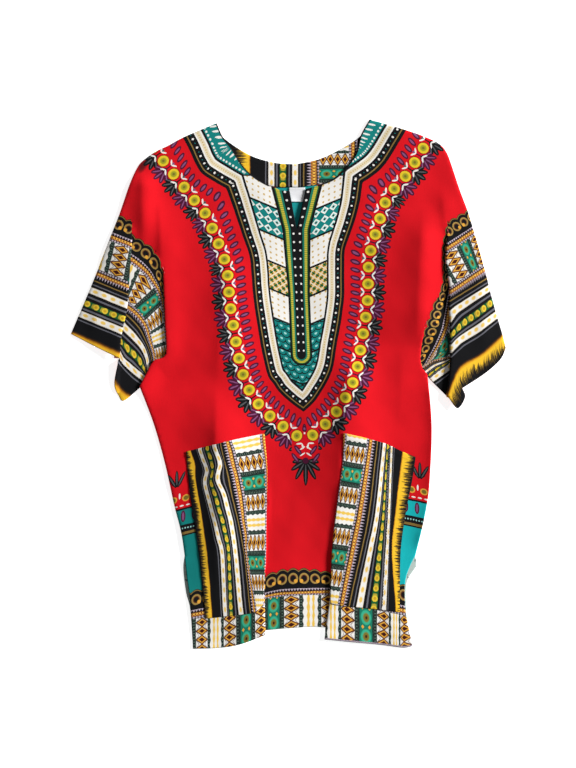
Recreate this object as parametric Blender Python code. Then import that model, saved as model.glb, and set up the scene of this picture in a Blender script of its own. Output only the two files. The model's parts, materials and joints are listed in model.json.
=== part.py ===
# A dashiki laid flat on its back: two kimono-cut panels, two patch pockets, a back neck facing and a label.
# X runs to the viewer's right, Y towards the neck, and the cloth rests on Z = 0.
# The origin is under the middle of the garment. Tables are in millimetres; the objects are in metres.
import bpy
import bmesh
from mathutils import Vector
from mathutils.geometry import delaunay_2d_cdt

MM = 0.001

# Driving dimensions
CLOTH_WALL = 1.0            # one layer of printed cotton with its turnings
SEAM_GAP = 0.3              # clearance left between neighbouring pieces
BACK_INSET = 1.5            # how far the back's hem and cuffs stay behind the front's
FOLD_RAMP = 7.0             # run of the slope that comes down from a folded edge
NECK_CENTRE = (7.0, 322.0)  # middle of the raised ground round the neck
NECK_REACH = (165.0, 104.0) # half width and half height of that raised ground
NECK_FADE = 0.45            # share of its reach over which it dies out
EDGE_PITCH = 15.0           # spacing of points along an outline
FRONT_PITCH = 15.5          # spacing of points inside the front and its pockets
EDGE_CLEARANCE = 0.55       # no inner point comes nearer an edge than this share of the pitch
LABEL_LEFT, LABEL_RIGHT = 1.0, 24.0
LABEL_FOOT, LABEL_HEAD = 262.0, 282.4

# Each edge of the front, in order round the panel: stations (x, y) that a smooth curve runs through
FRONT_EDGES = {
    "left shoulder": [(-103, 375), (-127, 365), (-152, 354), (-172, 343), (-189, 335), (-205, 324),
                      (-216, 313), (-227, 289), (-243, 243)],
    "left sleeve fold": [(-243, 243), (-255, 213), (-284, 139), (-312.7, 72)],
    "left cuff": [(-312.7, 72), (-278, 54), (-243, 37)],
    "left underarm": [(-243, 37), (-250, 1), (-244, -17), (-236, -24), (-213, -5)],
    "left side": [(-213, -5), (-195, -53), (-184, -89), (-174, -128), (-164, -174), (-154, -213), (-149, -246)],
    "left side slit": [(-149, -246), (-146, -276), (-141, -315), (-137, -380.6)],
    "left hem": [(-137, -380.6), (-98, -379), (-69, -374), (-34, -361)],
    "middle hem": [(-34, -354), (0, -351), (33, -349), (53, -350)],
    "right hem": [(53, -367), (81, -370), (132, -375), (165, -379), (179, -377)],
    "right side slit": [(179, -377), (174, -354), (168, -323), (168, -285), (175, -262), (183, -246)],
    "right side": [(183, -246), (193, -204), (200, -168), (203, -140), (206, -79), (205, -40), (200, 11)],
    "right underarm": [(200, 11), (208, 2), (229, -19), (243, -35), (254, -19), (250, -6)],
    "right cuff": [(250, -6), (281, 14), (300, 30), (308, 40), (312.7, 52)],
    "right sleeve fold": [(312.7, 52), (308, 71), (302, 91), (292, 126), (283, 162), (267, 219), (258, 249)],
    "right shoulder": [(258, 249), (246, 281), (235, 314), (227, 334), (216, 346), (195, 356), (169, 365),
                       (139, 374), (117, 380.6)],
    "right neck": [(117, 380.6), (104, 357), (96, 329), (71, 299), (47, 287), (25, 280)],
    "neck slit": [(25, 280), (12, 222), (2, 277)],
    "left neck": [(2, 277), (-12, 279), (-31, 287), (-52, 300), (-67, 316), (-82, 340), (-94, 355), (-103, 375)],
}
STRAIGHT_EDGES = ("neck slit",)

# Where the back shows past the front or inside its neck, the back has edges of its own
BACK_EDGES = {
    "left side slit": [(-149, -246), (-151, -266), (-147, -300), (-141, -325), (-137, -380.6)],
    "left hem": [(-137, -380.6), (-98, -379), (-69, -374), (-40, -363)],
    "middle hem": [(-40, -353), (0, -349), (33, -347), (58, -349)],
    "right hem": [(58, -367), (81, -370), (132, -375), (165, -379), (179, -377)],
    "right side slit": [(179, -377), (174, -354), (170, -323), (171, -285), (184, -262), (183, -246)],
    "right neck": [(117, 380.6), (104, 357), (74, 337), (43, 323), (11, 316)],
    "left neck": [(11, 316), (-18, 318), (-55, 329), (-94, 355), (-103, 375)],
}
BACK_INSET_EDGES = ("left cuff", "left underarm", "left hem", "middle hem", "right hem",
                    "right underarm", "right cuff")

# The facing keeps the back's neckline and ends on the shoulders; this is its free lower edge, right to left
FACING_LOWER_EDGE = [(142, 371), (128, 345), (103, 314), (62, 292), (24, 284), (4, 283), (-28, 285),
                     (-70, 302), (-105, 334), (-126, 362)]

# The pockets, from the top inner corner round: top, outer edge, foot and inner edge
POCKETS = {
    "pocket_left": {
        "top": [(-34, -71), (-79, -80), (-96, -84), (-127, -92), (-147, -97)],
        "outer edge": [(-147, -97), (-142, -152), (-133, -210), (-126, -267), (-119, -337)],
        "foot": [(-119, -337), (-84, -333), (-50, -328), (-35, -315)],
        "inner edge": [(-35, -315), (-34, -272), (-32, -253), (-31, -182), (-30, -133), (-31, -108), (-34, -71)],
    },
    "pocket_right": {
        "top": [(79, -70), (110, -77), (141, -86), (164, -97), (183, -105)],
        "outer edge": [(183, -105), (178, -139), (169, -184), (162, -234), (160.5, -277), (160, -328)],
        "foot": [(160, -328), (119, -323), (80, -319), (60, -315)],
        "inner edge": [(60, -315), (61, -282), (63, -234), (70, -170), (75, -133), (78, -108), (79, -70)],
    },
}

# Folded edges, where cloth lies over cloth: the line of the fold, which side is on top (+1 is the left
# hand going from the first station to the last), its height, how far the height reaches back from the
# edge, and over what length it grows from nothing at the first station
FOLDED_EDGES = [
    {"name": "left sleeve over its underarm", "line": [(-224, 232), (-226, 199), (-232, 114), (-238, 83),
     (-241, 65), (-243, 37)], "side": -1, "height": 5.0, "reach": 45.0, "grows": 40.0},
    {"name": "left body over the underarm", "line": [(-192, 190), (-184, 178), (-179, 160), (-176, 92),
     (-175, 43), (-193, 32), (-203, 14), (-213, -5)], "side": 1, "height": 3.5, "reach": 40.0, "grows": 70.0},
    {"name": "right sleeve over its underarm", "line": [(229, 232), (229, 207), (228, 170), (233, 142),
     (232, 115), (234, 87), (234, 56), (234, 28), (229, -19)], "side": 1, "height": 5.0, "reach": 45.0,
     "grows": 40.0},
    {"name": "right body over the underarm", "line": [(219, 128), (208, 115), (196, 81), (190, 52),
     (190, 28), (200, 11)], "side": -1, "height": 3.5, "reach": 40.0, "grows": 60.0},
    {"name": "left tuck", "line": [(-31, -108), (-30, -133), (-31, -182), (-32, -253), (-34, -272),
     (-35, -315), (-34, -361)], "side": -1, "height": 4.5, "reach": 60.0, "grows": 190.0},
    {"name": "right tuck", "line": [(78, -108), (75, -133), (70, -170), (63, -234), (61, -282), (60, -315),
     (53, -367)], "side": 1, "height": 4.5, "reach": 60.0, "grows": 190.0},
]

# Soft folds: the line of a ridge, its half width and its height, and how far it fades at its two ends
SOFT_FOLDS = [
    {"name": "left flank", "line": [(-106, 17), (-106, -368)], "half_width": 45, "height": 7.0, "fades": (90, 30)},
    {"name": "left chest", "line": [(-84, 210), (-106, -10)], "half_width": 45, "height": 3.5, "fades": (70, 60)},
    {"name": "right flank", "line": [(88, 15), (79, -70), (60, -330)], "half_width": 40, "height": 7.0,
     "fades": (80, 60)},
    {"name": "outer left shoulder", "line": [(-204, 307), (-199, 178)], "half_width": 14, "height": 3.0,
     "fades": (30, 60)},
    {"name": "inner left shoulder", "line": [(-177, 270), (-177, 150)], "half_width": 22, "height": 3.5,
     "fades": (40, 50)},
    {"name": "right shoulder", "line": [(195, 264), (187, 120), (184, 60)], "half_width": 25, "height": 5.5,
     "fades": (60, 70)},
    {"name": "right side", "line": [(165, 60), (160, -70)], "half_width": 25, "height": 2.5, "fades": (40, 50)},
    {"name": "left sleeve", "line": [(-262, 160), (-286, 60)], "half_width": 16, "height": 2.5, "fades": (40, 40)},
    {"name": "right sleeve", "line": [(268, 180), (282, 40)], "half_width": 18, "height": 2.5, "fades": (40, 40)},
]

# Base colour, roughness
CLOTH_COLOURS = {
    "front": (0.78, 0.01, 0.03),
    "back": (0.60, 0.01, 0.02),
    "pocket_left": (0.55, 0.36, 0.10),
    "pocket_right": (0.62, 0.42, 0.12),
    "back_neck_facing": (0.20, 0.17, 0.08),
    "neck_label": (0.90, 0.90, 0.88),
}
CLOTH_ROUGHNESS = 0.75


def smoothed(stations, pitch):
    """Points about one pitch apart on a smooth curve through the stations, without the last one."""
    points = [Vector(station) for station in stations]
    before = points[0] * 2 - points[1]
    after = points[-1] * 2 - points[-2]
    padded = [before] + points + [after]
    curve = []
    for p0, p1, p2, p3 in zip(padded, padded[1:], padded[2:], padded[3:]):
        steps = max(1, round((p2 - p1).length / pitch))
        for step in range(steps):
            t = step / steps
            bend = p1 * 2 + (p2 - p0) * t + (p0 * 2 - p1 * 5 + p2 * 4 - p3) * t * t
            curve.append((bend + (p1 * 3 - p0 - p2 * 3 + p3) * t ** 3) / 2)
    return curve


def straight(stations):
    return [Vector(station) for station in stations[:-1]]


def ring(edges, pitch):
    """One closed outline from named edges, each drawn smooth unless it is listed as straight."""
    outline = []
    last_station = None
    for name, stations in edges.items():
        if last_station is not None and last_station != stations[0]:
            outline.append(Vector(last_station))
        outline += straight(stations) if name in STRAIGHT_EDGES else smoothed(stations, pitch)
        last_station = stations[-1]
    if last_station != next(iter(edges.values()))[0]:
        outline.append(Vector(last_station))
    return outline


def nearest_on(line, point):
    """Signed distance from the line (left of it is positive) and the length along it, both in mm."""
    best = None
    walked = 0.0
    for a, b in zip(line, line[1:]):
        along = b - a
        share = min(1.0, max(0.0, (point - a).dot(along) / along.length_squared))
        offset = point - (a + along * share)
        if best is None or offset.length < abs(best[0]):
            side = 1.0 if along.x * (point.y - a.y) - along.y * (point.x - a.x) >= 0 else -1.0
            best = (side * offset.length, walked + share * along.length)
        walked += along.length
    return best


def eased(share):
    share = min(1.0, max(0.0, share))
    return share * share * (3 - 2 * share)


def soft_height(point):
    """How far the soft folds lift the cloth at a point."""
    height = 0.0
    for fold in SOFT_FOLDS:
        line = [Vector(station) for station in fold["line"]]
        length = sum((b - a).length for a, b in zip(line, line[1:]))
        distance, along = nearest_on(line, point)
        fade_in, fade_out = fold["fades"]
        taper = eased(along / fade_in) * eased((length - along) / fade_out)
        height += fold["height"] * taper * 2.718281828 ** (-(distance / fold["half_width"]) ** 2)
    return height


def neck_lift(point):
    """The front passes over the back neck facing, so the ground round the neck is one layer higher."""
    across = (point.x - NECK_CENTRE[0]) / NECK_REACH[0]
    up = (point.y - NECK_CENTRE[1]) / NECK_REACH[1]
    inside = 1 + (1 - (across * across + up * up) ** 0.5) / NECK_FADE
    return (CLOTH_WALL + SEAM_GAP) * eased(inside)


def folded_height(point):
    """How far the layers under the folded edges lift the top of the cloth at a point."""
    height = 0.0
    for fold in FOLDED_EDGES:
        distance, along = nearest_on([Vector(station) for station in fold["line"]], point)
        distance *= fold["side"]
        grown = fold["height"] * eased(along / fold["grows"])
        if distance >= 0:
            height += grown * 2.718281828 ** (-(distance / fold["reach"]) ** 2)
        else:
            height += grown * eased(1 + distance / FOLD_RAMP)
    return height


def front_bottom(point):
    return CLOTH_WALL + SEAM_GAP + neck_lift(point) + soft_height(point)


def front_top(point):
    return front_bottom(point) + CLOTH_WALL + folded_height(point)


def pocket_bottom(point):
    return front_top(point) + SEAM_GAP


def pocket_top(point):
    return front_top(point) + SEAM_GAP + CLOTH_WALL


def inner_points(outline, lines, pitch):
    """A triangular lattice of points inside an outline, clear of its edge and of the lines drawn on it."""
    row_height = pitch * 3 ** 0.5 / 2
    low = Vector((min(p.x for p in outline), min(p.y for p in outline)))
    high = Vector((max(p.x for p in outline), max(p.y for p in outline)))
    closed = outline + outline[:1]
    points = []
    for row in range(int((high.y - low.y) / row_height) + 1):
        for column in range(int((high.x - low.x) / pitch) + 2):
            point = low + Vector(((column - 0.5 * (row % 2)) * pitch, row * row_height))
            if not inside(point, outline):
                continue
            if all(abs(nearest_on(line, point)[0]) > EDGE_CLEARANCE * pitch for line in [closed] + lines):
                points.append(point)
    return points


def inside(point, outline):
    crossings = 0
    for a, b in zip(outline, outline[1:] + outline[:1]):
        if (a.y > point.y) != (b.y > point.y) and point.x < a.x + (b.x - a.x) * (point.y - a.y) / (b.y - a.y):
            crossings += 1
    return crossings % 2 == 1


def cut_cloth(outline, lines, pitch):
    """Triangles that fill an outline and follow every line drawn on it: flat points and corner indices."""
    points = list(outline)
    count = len(outline)
    edges = [(i, (i + 1) % count) for i in range(count)]
    for line in lines:
        edges += [(len(points) + i, len(points) + i + 1) for i in range(len(line) - 1)]
        points += line
    if pitch:
        points += inner_points(outline, lines, pitch)
    flat, _, triangles, _, _, _ = delaunay_2d_cdt(points, edges, [], 0, 0.01)
    kept = [t for t in triangles if inside(sum((flat[i] for i in t), Vector((0, 0))) / 3, outline)]
    return flat, kept


def cloth_solid(name, flat, triangles, bottom, top):
    """A closed wall of cloth between two height functions, as a named object with its own material."""
    bm = bmesh.new()
    used = sorted({corner for triangle in triangles for corner in triangle})
    verts = {i: bm.verts.new((flat[i].x * MM, flat[i].y * MM, bottom(flat[i]) * MM)) for i in used}
    for triangle in triangles:
        bm.faces.new([verts[i] for i in triangle])
    raised = bmesh.ops.extrude_face_region(bm, geom=bm.faces[:])["geom"]
    for vert in raised:
        if isinstance(vert, bmesh.types.BMVert):
            vert.co.z = top(Vector((vert.co.x / MM, vert.co.y / MM))) * MM
    bmesh.ops.triangulate(bm, faces=bm.faces[:])
    bmesh.ops.recalc_face_normals(bm, faces=bm.faces[:])
    mesh = bpy.data.meshes.new(name)
    bm.to_mesh(mesh)
    bm.free()
    mesh.materials.append(cloth_material(name))
    piece = bpy.data.objects.new(name, mesh)
    bpy.context.scene.collection.objects.link(piece)
    print(name, len(mesh.polygons), "triangles")
    return piece


def cloth_material(name):
    material = bpy.data.materials.new(name + " cotton")
    material.use_nodes = True
    shader = material.node_tree.nodes["Principled BSDF"]
    shader.inputs["Base Color"].default_value = (*CLOTH_COLOURS[name], 1)
    shader.inputs["Roughness"].default_value = CLOTH_ROUGHNESS
    shader.inputs["Metallic"].default_value = 0.0
    return material


def level(height):
    return lambda point: height


def back_outline():
    """The front's outline with the back's own neck and slits, and its hem and cuffs drawn in a little."""
    edges = {name: BACK_EDGES.get(name, stations) for name, stations in FRONT_EDGES.items() if name != "neck slit"}
    outline = ring(edges, EDGE_PITCH)
    drawn_in = []
    for name in BACK_INSET_EDGES:
        drawn_in += [Vector(station) for station in edges[name]]
    inset = []
    for previous, point, following in zip(outline[-1:] + outline, outline, outline[1:] + outline[:1]):
        if min((point - station).length for station in drawn_in) < EDGE_PITCH:
            direction = (following - previous).normalized()
            point = point + Vector((-direction.y, direction.x)) * BACK_INSET
        inset.append(point)
    return inset


def fold_lines():
    """The foot of the slope below each folded edge, through the middles of the fold line's stretches."""
    lines = []
    for fold in FOLDED_EDGES:
        line = [Vector(station) for station in fold["line"]]
        foot = []
        for a, b in zip(line, line[1:]):
            across = Vector((a.y - b.y, b.x - a.x)).normalized() * -fold["side"]
            foot.append((a + b) / 2 + across * FOLD_RAMP)
        lines.append(foot)
    return lines


def build():
    for old in list(bpy.data.objects):
        bpy.data.objects.remove(old)

    flat, triangles = cut_cloth(back_outline(), [], None)
    cloth_solid("back", flat, triangles, level(0.0), level(CLOTH_WALL))

    lying = CLOTH_WALL + SEAM_GAP
    facing = {"right neck": BACK_EDGES["right neck"], "left neck": BACK_EDGES["left neck"],
              "left end": [(-103, 375), (-126, 362)], "lower edge": FACING_LOWER_EDGE[::-1],
              "right end": [(142, 371), (117, 380.6)]}
    flat, triangles = cut_cloth(ring(facing, EDGE_PITCH), [], None)
    cloth_solid("back_neck_facing", flat, triangles, level(lying), level(lying + CLOTH_WALL))

    label = [Vector((LABEL_LEFT, LABEL_FOOT)), Vector((LABEL_RIGHT, LABEL_FOOT)),
             Vector((LABEL_RIGHT, LABEL_HEAD)), Vector((LABEL_LEFT, LABEL_HEAD))]
    flat, triangles = cut_cloth(label, [], None)
    cloth_solid("neck_label", flat, triangles, level(lying), level(lying + CLOTH_WALL))

    pockets = {name: ring(edges, EDGE_PITCH) for name, edges in POCKETS.items()}
    lines = [outline + outline[:1] for outline in pockets.values()] + fold_lines()
    flat, triangles = cut_cloth(ring(FRONT_EDGES, EDGE_PITCH), lines, FRONT_PITCH)
    cloth_solid("front", flat, triangles, front_bottom, front_top)
    for name, outline in pockets.items():
        on_pocket = [t for t in triangles if inside(sum((flat[i] for i in t), Vector((0, 0))) / 3, outline)]
        cloth_solid(name, flat, on_pocket, pocket_bottom, pocket_top)


build()
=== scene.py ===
import json
import math
from functools import partialmethod
import bmesh
import bpy
import numpy as np
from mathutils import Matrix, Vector
from mathutils.geometry import delaunay_2d_cdt

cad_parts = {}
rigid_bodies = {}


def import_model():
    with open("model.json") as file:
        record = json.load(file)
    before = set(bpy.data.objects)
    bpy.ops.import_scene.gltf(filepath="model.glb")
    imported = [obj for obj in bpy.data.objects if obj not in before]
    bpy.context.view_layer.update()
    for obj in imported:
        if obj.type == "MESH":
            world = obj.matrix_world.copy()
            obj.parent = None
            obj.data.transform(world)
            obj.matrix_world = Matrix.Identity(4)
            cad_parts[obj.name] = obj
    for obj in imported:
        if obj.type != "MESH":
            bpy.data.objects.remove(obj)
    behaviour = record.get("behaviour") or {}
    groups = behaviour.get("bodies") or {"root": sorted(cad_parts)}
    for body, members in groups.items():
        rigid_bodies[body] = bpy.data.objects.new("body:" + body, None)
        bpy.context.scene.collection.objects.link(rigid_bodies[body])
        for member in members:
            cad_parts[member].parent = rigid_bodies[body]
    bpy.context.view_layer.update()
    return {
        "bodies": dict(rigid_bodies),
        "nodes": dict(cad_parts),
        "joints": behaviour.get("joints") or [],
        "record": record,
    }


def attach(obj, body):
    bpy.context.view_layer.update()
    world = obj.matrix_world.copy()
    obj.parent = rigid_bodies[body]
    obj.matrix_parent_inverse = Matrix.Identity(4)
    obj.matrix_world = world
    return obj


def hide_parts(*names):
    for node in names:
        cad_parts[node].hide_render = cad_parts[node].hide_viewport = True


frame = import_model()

mm = 0.001

# Tables are in millimetres: X to the viewer's right, Y towards the neck, Z up from the floor
garment = {
    "layer": 1.0,            # one layer of the pattern's cloth
    "clearance": 0.3,        # air between layers
    "thickness": 0.55,       # the cotton itself
    "outlinePitch": 3.0,     # distance between the points of a drawn line
    "edgePitch": 6.0,        # the same where an edge only rolls or lifts
    "guidePitch": 4.0,       # and on a guide of the print
    "latticePitch": 3.2,     # distance between the points inside the front
    "backPitch": 6.0,
    "frontRim": (1.4,),      # rows of points close to the edge
    "backRim": (1.6,),
    "foldRamp": 7.0,         # how far below a fold its rise fades
    "opensAt": 1.0,          # a fold opens once it has risen this far
    "opensOver": 1.5,
    "neckCentre": (7.0, 322.0),
    "neckReach": (165.0, 104.0),
    "neckFade": 0.45,
    "onFold": 0.05,          # a point this near to a fold is on it
    "deepest": -0.6,         # how far a ripple may sink
}

frontEdges = {
    "left shoulder": [(-103, 375), (-127, 365), (-152, 354), (-172, 343), (-189, 335), (-205, 324),
                      (-216, 313), (-227, 289), (-243, 243)],
    "left sleeve fold": [(-243, 243), (-255, 213), (-284, 139), (-312.7, 72)],
    "left cuff": [(-312.7, 72), (-278, 54), (-243, 37)],
    "left underarm": [(-243, 37), (-250, 1), (-244, -17), (-236, -24), (-213, -5)],
    "left side": [(-213, -5), (-195, -53), (-184, -89), (-174, -128), (-164, -174), (-154, -213),
                  (-149, -246)],
    "left side slit": [(-149, -246), (-146, -276), (-141, -315), (-137, -380.6)],
    "left hem": [(-137, -380.6), (-98, -379), (-69, -374), (-34, -361)],
    "middle hem": [(-34, -354), (0, -351), (33, -349), (53, -350)],
    "right hem": [(53, -367), (81, -370), (132, -375), (165, -379), (179, -377)],
    "right side slit": [(179, -377), (174, -354), (168, -323), (168, -285), (175, -262), (183, -246)],
    "right side": [(183, -246), (193, -204), (200, -168), (203, -140), (206, -79), (205, -40),
                   (200, 11)],
    "right underarm": [(200, 11), (208, 2), (229, -19), (243, -35), (254, -19), (250, -6)],
    "right cuff": [(250, -6), (281, 14), (300, 30), (308, 40), (312.7, 52)],
    "right sleeve fold": [(312.7, 52), (308, 71), (302, 91), (292, 126), (283, 162), (267, 219),
                          (258, 249)],
    "right shoulder": [(258, 249), (246, 281), (235, 314), (227, 334), (216, 346), (195, 356),
                       (169, 365), (139, 374), (117, 380.6)],
    "right neck": [(117, 380.6), (104, 357), (96, 329), (71, 299), (47, 287), (25, 280)],
    "neck slit": [(25, 280), (12, 222), (2, 277)],
    "left neck": [(2, 277), (-12, 279), (-31, 287), (-52, 300), (-67, 316), (-82, 340), (-94, 355),
                  (-103, 375)],
}
straightEdges = ("neck slit",)
# edge: width of its roll and how far it drops
rolledEdges = {"left shoulder": (4.0, 1.0), "left sleeve fold": (4.0, 1.0), "left underarm": (4.0, 1.0),
               "left side": (4.0, 1.0), "right side": (0.8, 0.2), "right underarm": (1.6, 0.5),
               "right sleeve fold": (2.2, 0.7), "right shoulder": (4.0, 1.0)}
# edge: how far the cloth lifts towards it, and over what distance
liftedEdges = {"right side": (3.0, 11.0), "right sleeve fold": (0.7, 6.0)}
# edge: how far it lifts in waves, and their length
wavedEdges = {"left cuff": (0.7, 34.0), "right cuff": (0.9, 41.0), "left hem": (0.5, 52.0),
              "right hem": (0.6, 47.0), "middle hem": (0.5, 39.0)}
edgeForm = {"fade": 30, "reach": 14.0, "steady": 0.6}

# Folded edges: line of the fold, side on top (+1 is the left hand), height, reach, length it grows over
foldedEdges = {
    "leftSleeve": {"line": [(-224, 232), (-226, 199), (-232, 114), (-238, 83), (-241, 65), (-243, 37)],
                   "side": -1, "height": 6.6, "reach": 38.0, "grows": 50.0},
    "leftBody": {"line": [(-192, 190), (-184, 178), (-179, 160), (-176, 92), (-175, 43), (-193, 32),
                          (-203, 14), (-213, -5)], "side": 1, "height": 3.5, "reach": 20.0, "grows": 70.0},
    "rightSleeve": {"line": [(229, 232), (229, 207), (228, 170), (233, 142), (232, 115), (234, 87),
                             (234, 56), (234, 28), (229, -19)],
                    "side": 1, "height": 5.0, "reach": 45.0, "grows": 40.0, "roll": 2.1},
    "rightBody": {"line": [(219, 128), (208, 115), (196, 81), (190, 52), (190, 28), (200, 11)],
                  "side": -1, "height": 3.0, "reach": 40.0, "grows": 110.0, "lip": (1.2, 14.0),
                  "roll": 0.95},
    "leftTuck": {"line": [(-31, -108), (-30, -133), (-31, -182), (-32, -253), (-34, -272), (-35, -315),
                          (-34, -361)], "side": -1, "height": 4.2, "reach": 60.0, "grows": 190.0},
    "rightTuck": {"line": [(78, -108), (75, -133), (70, -170), (63, -234), (61, -282), (60, -315),
                           (53, -367)], "side": 1, "height": 2.6, "reach": 60.0, "grows": 190.0},
}

# Creases: line of the ridge, width to its left, width to its right, height, how far it fades at its two ends
creases = {
    "left flank": [[(-103, 17), (-103, -368)], 33, 43, 11.0, 90, 200],
    "left chest": [[(-84, 210), (-103, -10)], 36, 58, 6.8, 70, 60],
    "right flank": [[(94, 66), (79, -70), (63, -285)], 40, 56, 12.4, 80, 190],
    "outer left shoulder": [[(-210, 312), (-207, 178)], 26, 20, 7.6, 30, 60],
    "inner left shoulder": [[(-184, 270), (-182, 150)], 8, 24, 3.4, 40, 50],
    "outer right shoulder": [[(221, 290), (227, 212)], 9, 20, 2.4, 40, 20],
    "right shoulder": [[(195, 264), (187, 120), (186, 50)], 44, 26, 8.8, 60, 60],
    "right side": [[(165, 60), (160, -70)], 22, 30, 2.5, 40, 50],
    "left sleeve": [[(-262, 160), (-286, 60)], 16, 16, 2.5, 40, 40],
    "right sleeve": [[(268, 180), (282, 40)], 18, 18, 2.5, 40, 40],
    "middle": [[(15, -120), (0, -330)], 30, 30, 1.2, 60, 60],
}
ridgeRound = 2.2            # how blunt the sharp side of a ridge is

# Ripples: direction in degrees, wave length, height, phase
ripples = [(12, 71, 0.22, 0.3), (-24, 47, 0.13, 1.7), (67, 83, 0.20, 2.9), (101, 39, 0.08, 0.8),
           (38, 29, 0.05, 4.1), (-58, 57, 0.12, 5.2)]


# Catmull-Rom points about a pitch apart, without the last one
def smoothCurve(stations, pitch):
    points = [np.array(station, float) for station in stations]
    padded = [2 * points[0] - points[1]] + points + [2 * points[-1] - points[-2]]
    curve = []
    for p0, p1, p2, p3 in zip(padded, padded[1:], padded[2:], padded[3:]):
        steps = max(1, round(float(np.linalg.norm(p2 - p1)) / pitch))
        for step in range(steps):
            t = step / steps
            bend = 2 * p1 + (p2 - p0) * t + (2 * p0 - 5 * p1 + 4 * p2 - p3) * t * t
            curve.append((bend + (3 * p1 - p0 - 3 * p2 + p3) * t ** 3) / 2)
    return curve


def openCurve(stations, pitch=garment["outlinePitch"]):
    return np.array(smoothCurve(stations, pitch) + [np.array(stations[-1], float)])


def straightLine(stations, pitch):
    points = []
    for a, b in zip(stations, stations[1:]):
        steps = max(1, round(math.dist(a, b) / pitch))
        a, b = np.array(a, float), np.array(b, float)
        points += [a + (b - a) * i / steps for i in range(steps)]
    return points


def ringOutline(edges, pitch=garment["outlinePitch"]):
    outline = []
    rows = list(edges.values())
    for (name, stations), following in zip(edges.items(), rows[1:] + rows[:1]):
        outline += straightLine(stations, pitch) if name in straightEdges else smoothCurve(stations, pitch)
        if stations[-1] != following[0]:
            outline += straightLine([stations[-1], following[0]], pitch)
    return np.array(outline)


trace = 1e-9                # lengths this small count as none


# Signed distance (left is positive) and length along a line, for many points
def lineField(line, points, extend=0.0):
    line = np.array(line, float)
    before = 0.0
    if extend:
        first, last = line[0] - line[1], line[-1] - line[-2]
        line = np.vstack([line[0] + first / np.linalg.norm(first) * extend, line,
                          line[-1] + last / np.linalg.norm(last) * extend])
        before = -extend
    best = np.full(len(points), np.inf)
    side = np.ones(len(points))
    run = np.zeros(len(points))
    for a, b in zip(line, line[1:]):
        along = b - a
        length = np.linalg.norm(along)
        if length < trace:
            continue
        rel = points - a
        share = np.clip((rel @ along) / length ** 2, 0, 1)
        off = rel - share[:, None] * along
        distance = np.hypot(off[:, 0], off[:, 1])
        nearer = distance < best - trace
        cross = along[0] * rel[:, 1] - along[1] * rel[:, 0]
        best = np.where(nearer, distance, best)
        side = np.where(nearer, np.where(cross >= 0, 1.0, -1.0), side)
        run = np.where(nearer, before + share * length, run)
        before += length
    return best * side, run


def fromCurve(stations, points, pitch=garment["outlinePitch"], extend=0.0):
    return lineField(openCurve(stations, pitch), points, extend)


def fromGuide(stations, points):
    return fromCurve(stations, points, garment["guidePitch"], guideReach)


def nearestOf(lines, points, pitch=garment["outlinePitch"]):
    return np.min([np.abs(fromCurve(line, points, pitch)[0]) for line in lines], axis=0)


def lengthOf(line):
    return float(np.hypot(*np.diff(np.array(line, float), axis=0).T).sum())


def insideMask(points, outline):
    odd = np.zeros(len(points), bool)
    x, y = points.T
    for a, b in zip(outline, np.roll(outline, -1, axis=0)):
        if a[1] != b[1]:
            odd ^= ((a[1] > y) != (b[1] > y)) & (x < a[0] + (b[0] - a[0]) * (y - a[1]) / (b[1] - a[1]))
    return odd


def eased(share):
    share = np.clip(share, 0, 1)
    return share * share * (3 - 2 * share)


def bell(value):
    return np.exp(-value * value)


# 0 away from a rolled edge, 1 at the edge itself
def rolled(share):
    return 1 - np.sqrt(1 - np.clip(share, 0, 1) ** 2)


# 0 at both ends of a line, 1 between
def taper(along, length, fadeIn, fadeOut):
    return eased(along / fadeIn) * eased((length - along) / fadeOut)


def inwardOf(outline):
    along = np.roll(outline, -1, axis=0) - np.roll(outline, 1, axis=0)
    inward = np.stack([-along[:, 1], along[:, 0]], axis=1)
    x, y = outline.T
    turn = np.sign(np.sum(x * np.roll(y, -1) - np.roll(x, -1) * y))
    return inward / np.linalg.norm(inward, axis=1)[:, None] * turn


# how near a point may come to a line (in pitches) or to the edge, what counts as one point, an empty triangle
net = {"spare": 0.55, "rimSpare": 0.8, "merge": 0.02, "tiny": 1e-6}


# Flat triangles that fill an outline and follow the lines drawn on it
def clothNet(outline, lines, pitch, rim):
    points = [tuple(p) for p in outline]
    count = len(points)
    edges = [(i, (i + 1) % count) for i in range(count)]
    for line in lines:
        start = len(points)
        edges += [(start + i, start + i + 1) for i in range(len(line) - 1)]
        points += [tuple(p) for p in line]
    closed = np.vstack([outline, outline[:1]])
    spare = pitch * net["spare"]
    rows = [outline + inwardOf(outline) * depth for depth in rim]
    clearances = [net["rimSpare"] * depth for depth in rim]
    low, high = outline.min(axis=0), outline.max(axis=0)
    lattice = []
    for i, y in enumerate(np.arange(low[1], high[1], pitch * 3 ** 0.5 / 2)):
        xs = np.arange(low[0] - 0.5 * pitch * (i % 2), high[0], pitch)
        lattice.append(np.column_stack([xs, np.full(len(xs), y)]))
    rows.append(np.vstack(lattice))
    clearances.append(max(rim) + spare)
    for row, clearance in zip(rows, clearances):
        keep = insideMask(row, outline) & (np.abs(lineField(closed, row)[0]) > clearance)
        for line in lines:
            keep &= np.abs(lineField(line, row)[0]) > spare
        points += [tuple(p) for p in row[keep]]
    flat, _, faces, _, _, _ = delaunay_2d_cdt([Vector(p) for p in points], edges, [], 0, net["merge"])
    flat = np.array([(v.x, v.y) for v in flat])
    faces = np.array([f[:] for f in faces])
    faces = faces[insideMask(flat[faces].mean(axis=1), outline)]
    a, b, c = (flat[faces[:, k]] for k in range(3))
    turn = (b[:, 0] - a[:, 0]) * (c[:, 1] - a[:, 1]) - (b[:, 1] - a[:, 1]) * (c[:, 0] - a[:, 0])
    faces, turn = faces[np.abs(turn) > net["tiny"]], turn[np.abs(turn) > net["tiny"]]
    faces[turn < 0] = faces[turn < 0][:, ::-1]
    return flat, faces


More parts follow.
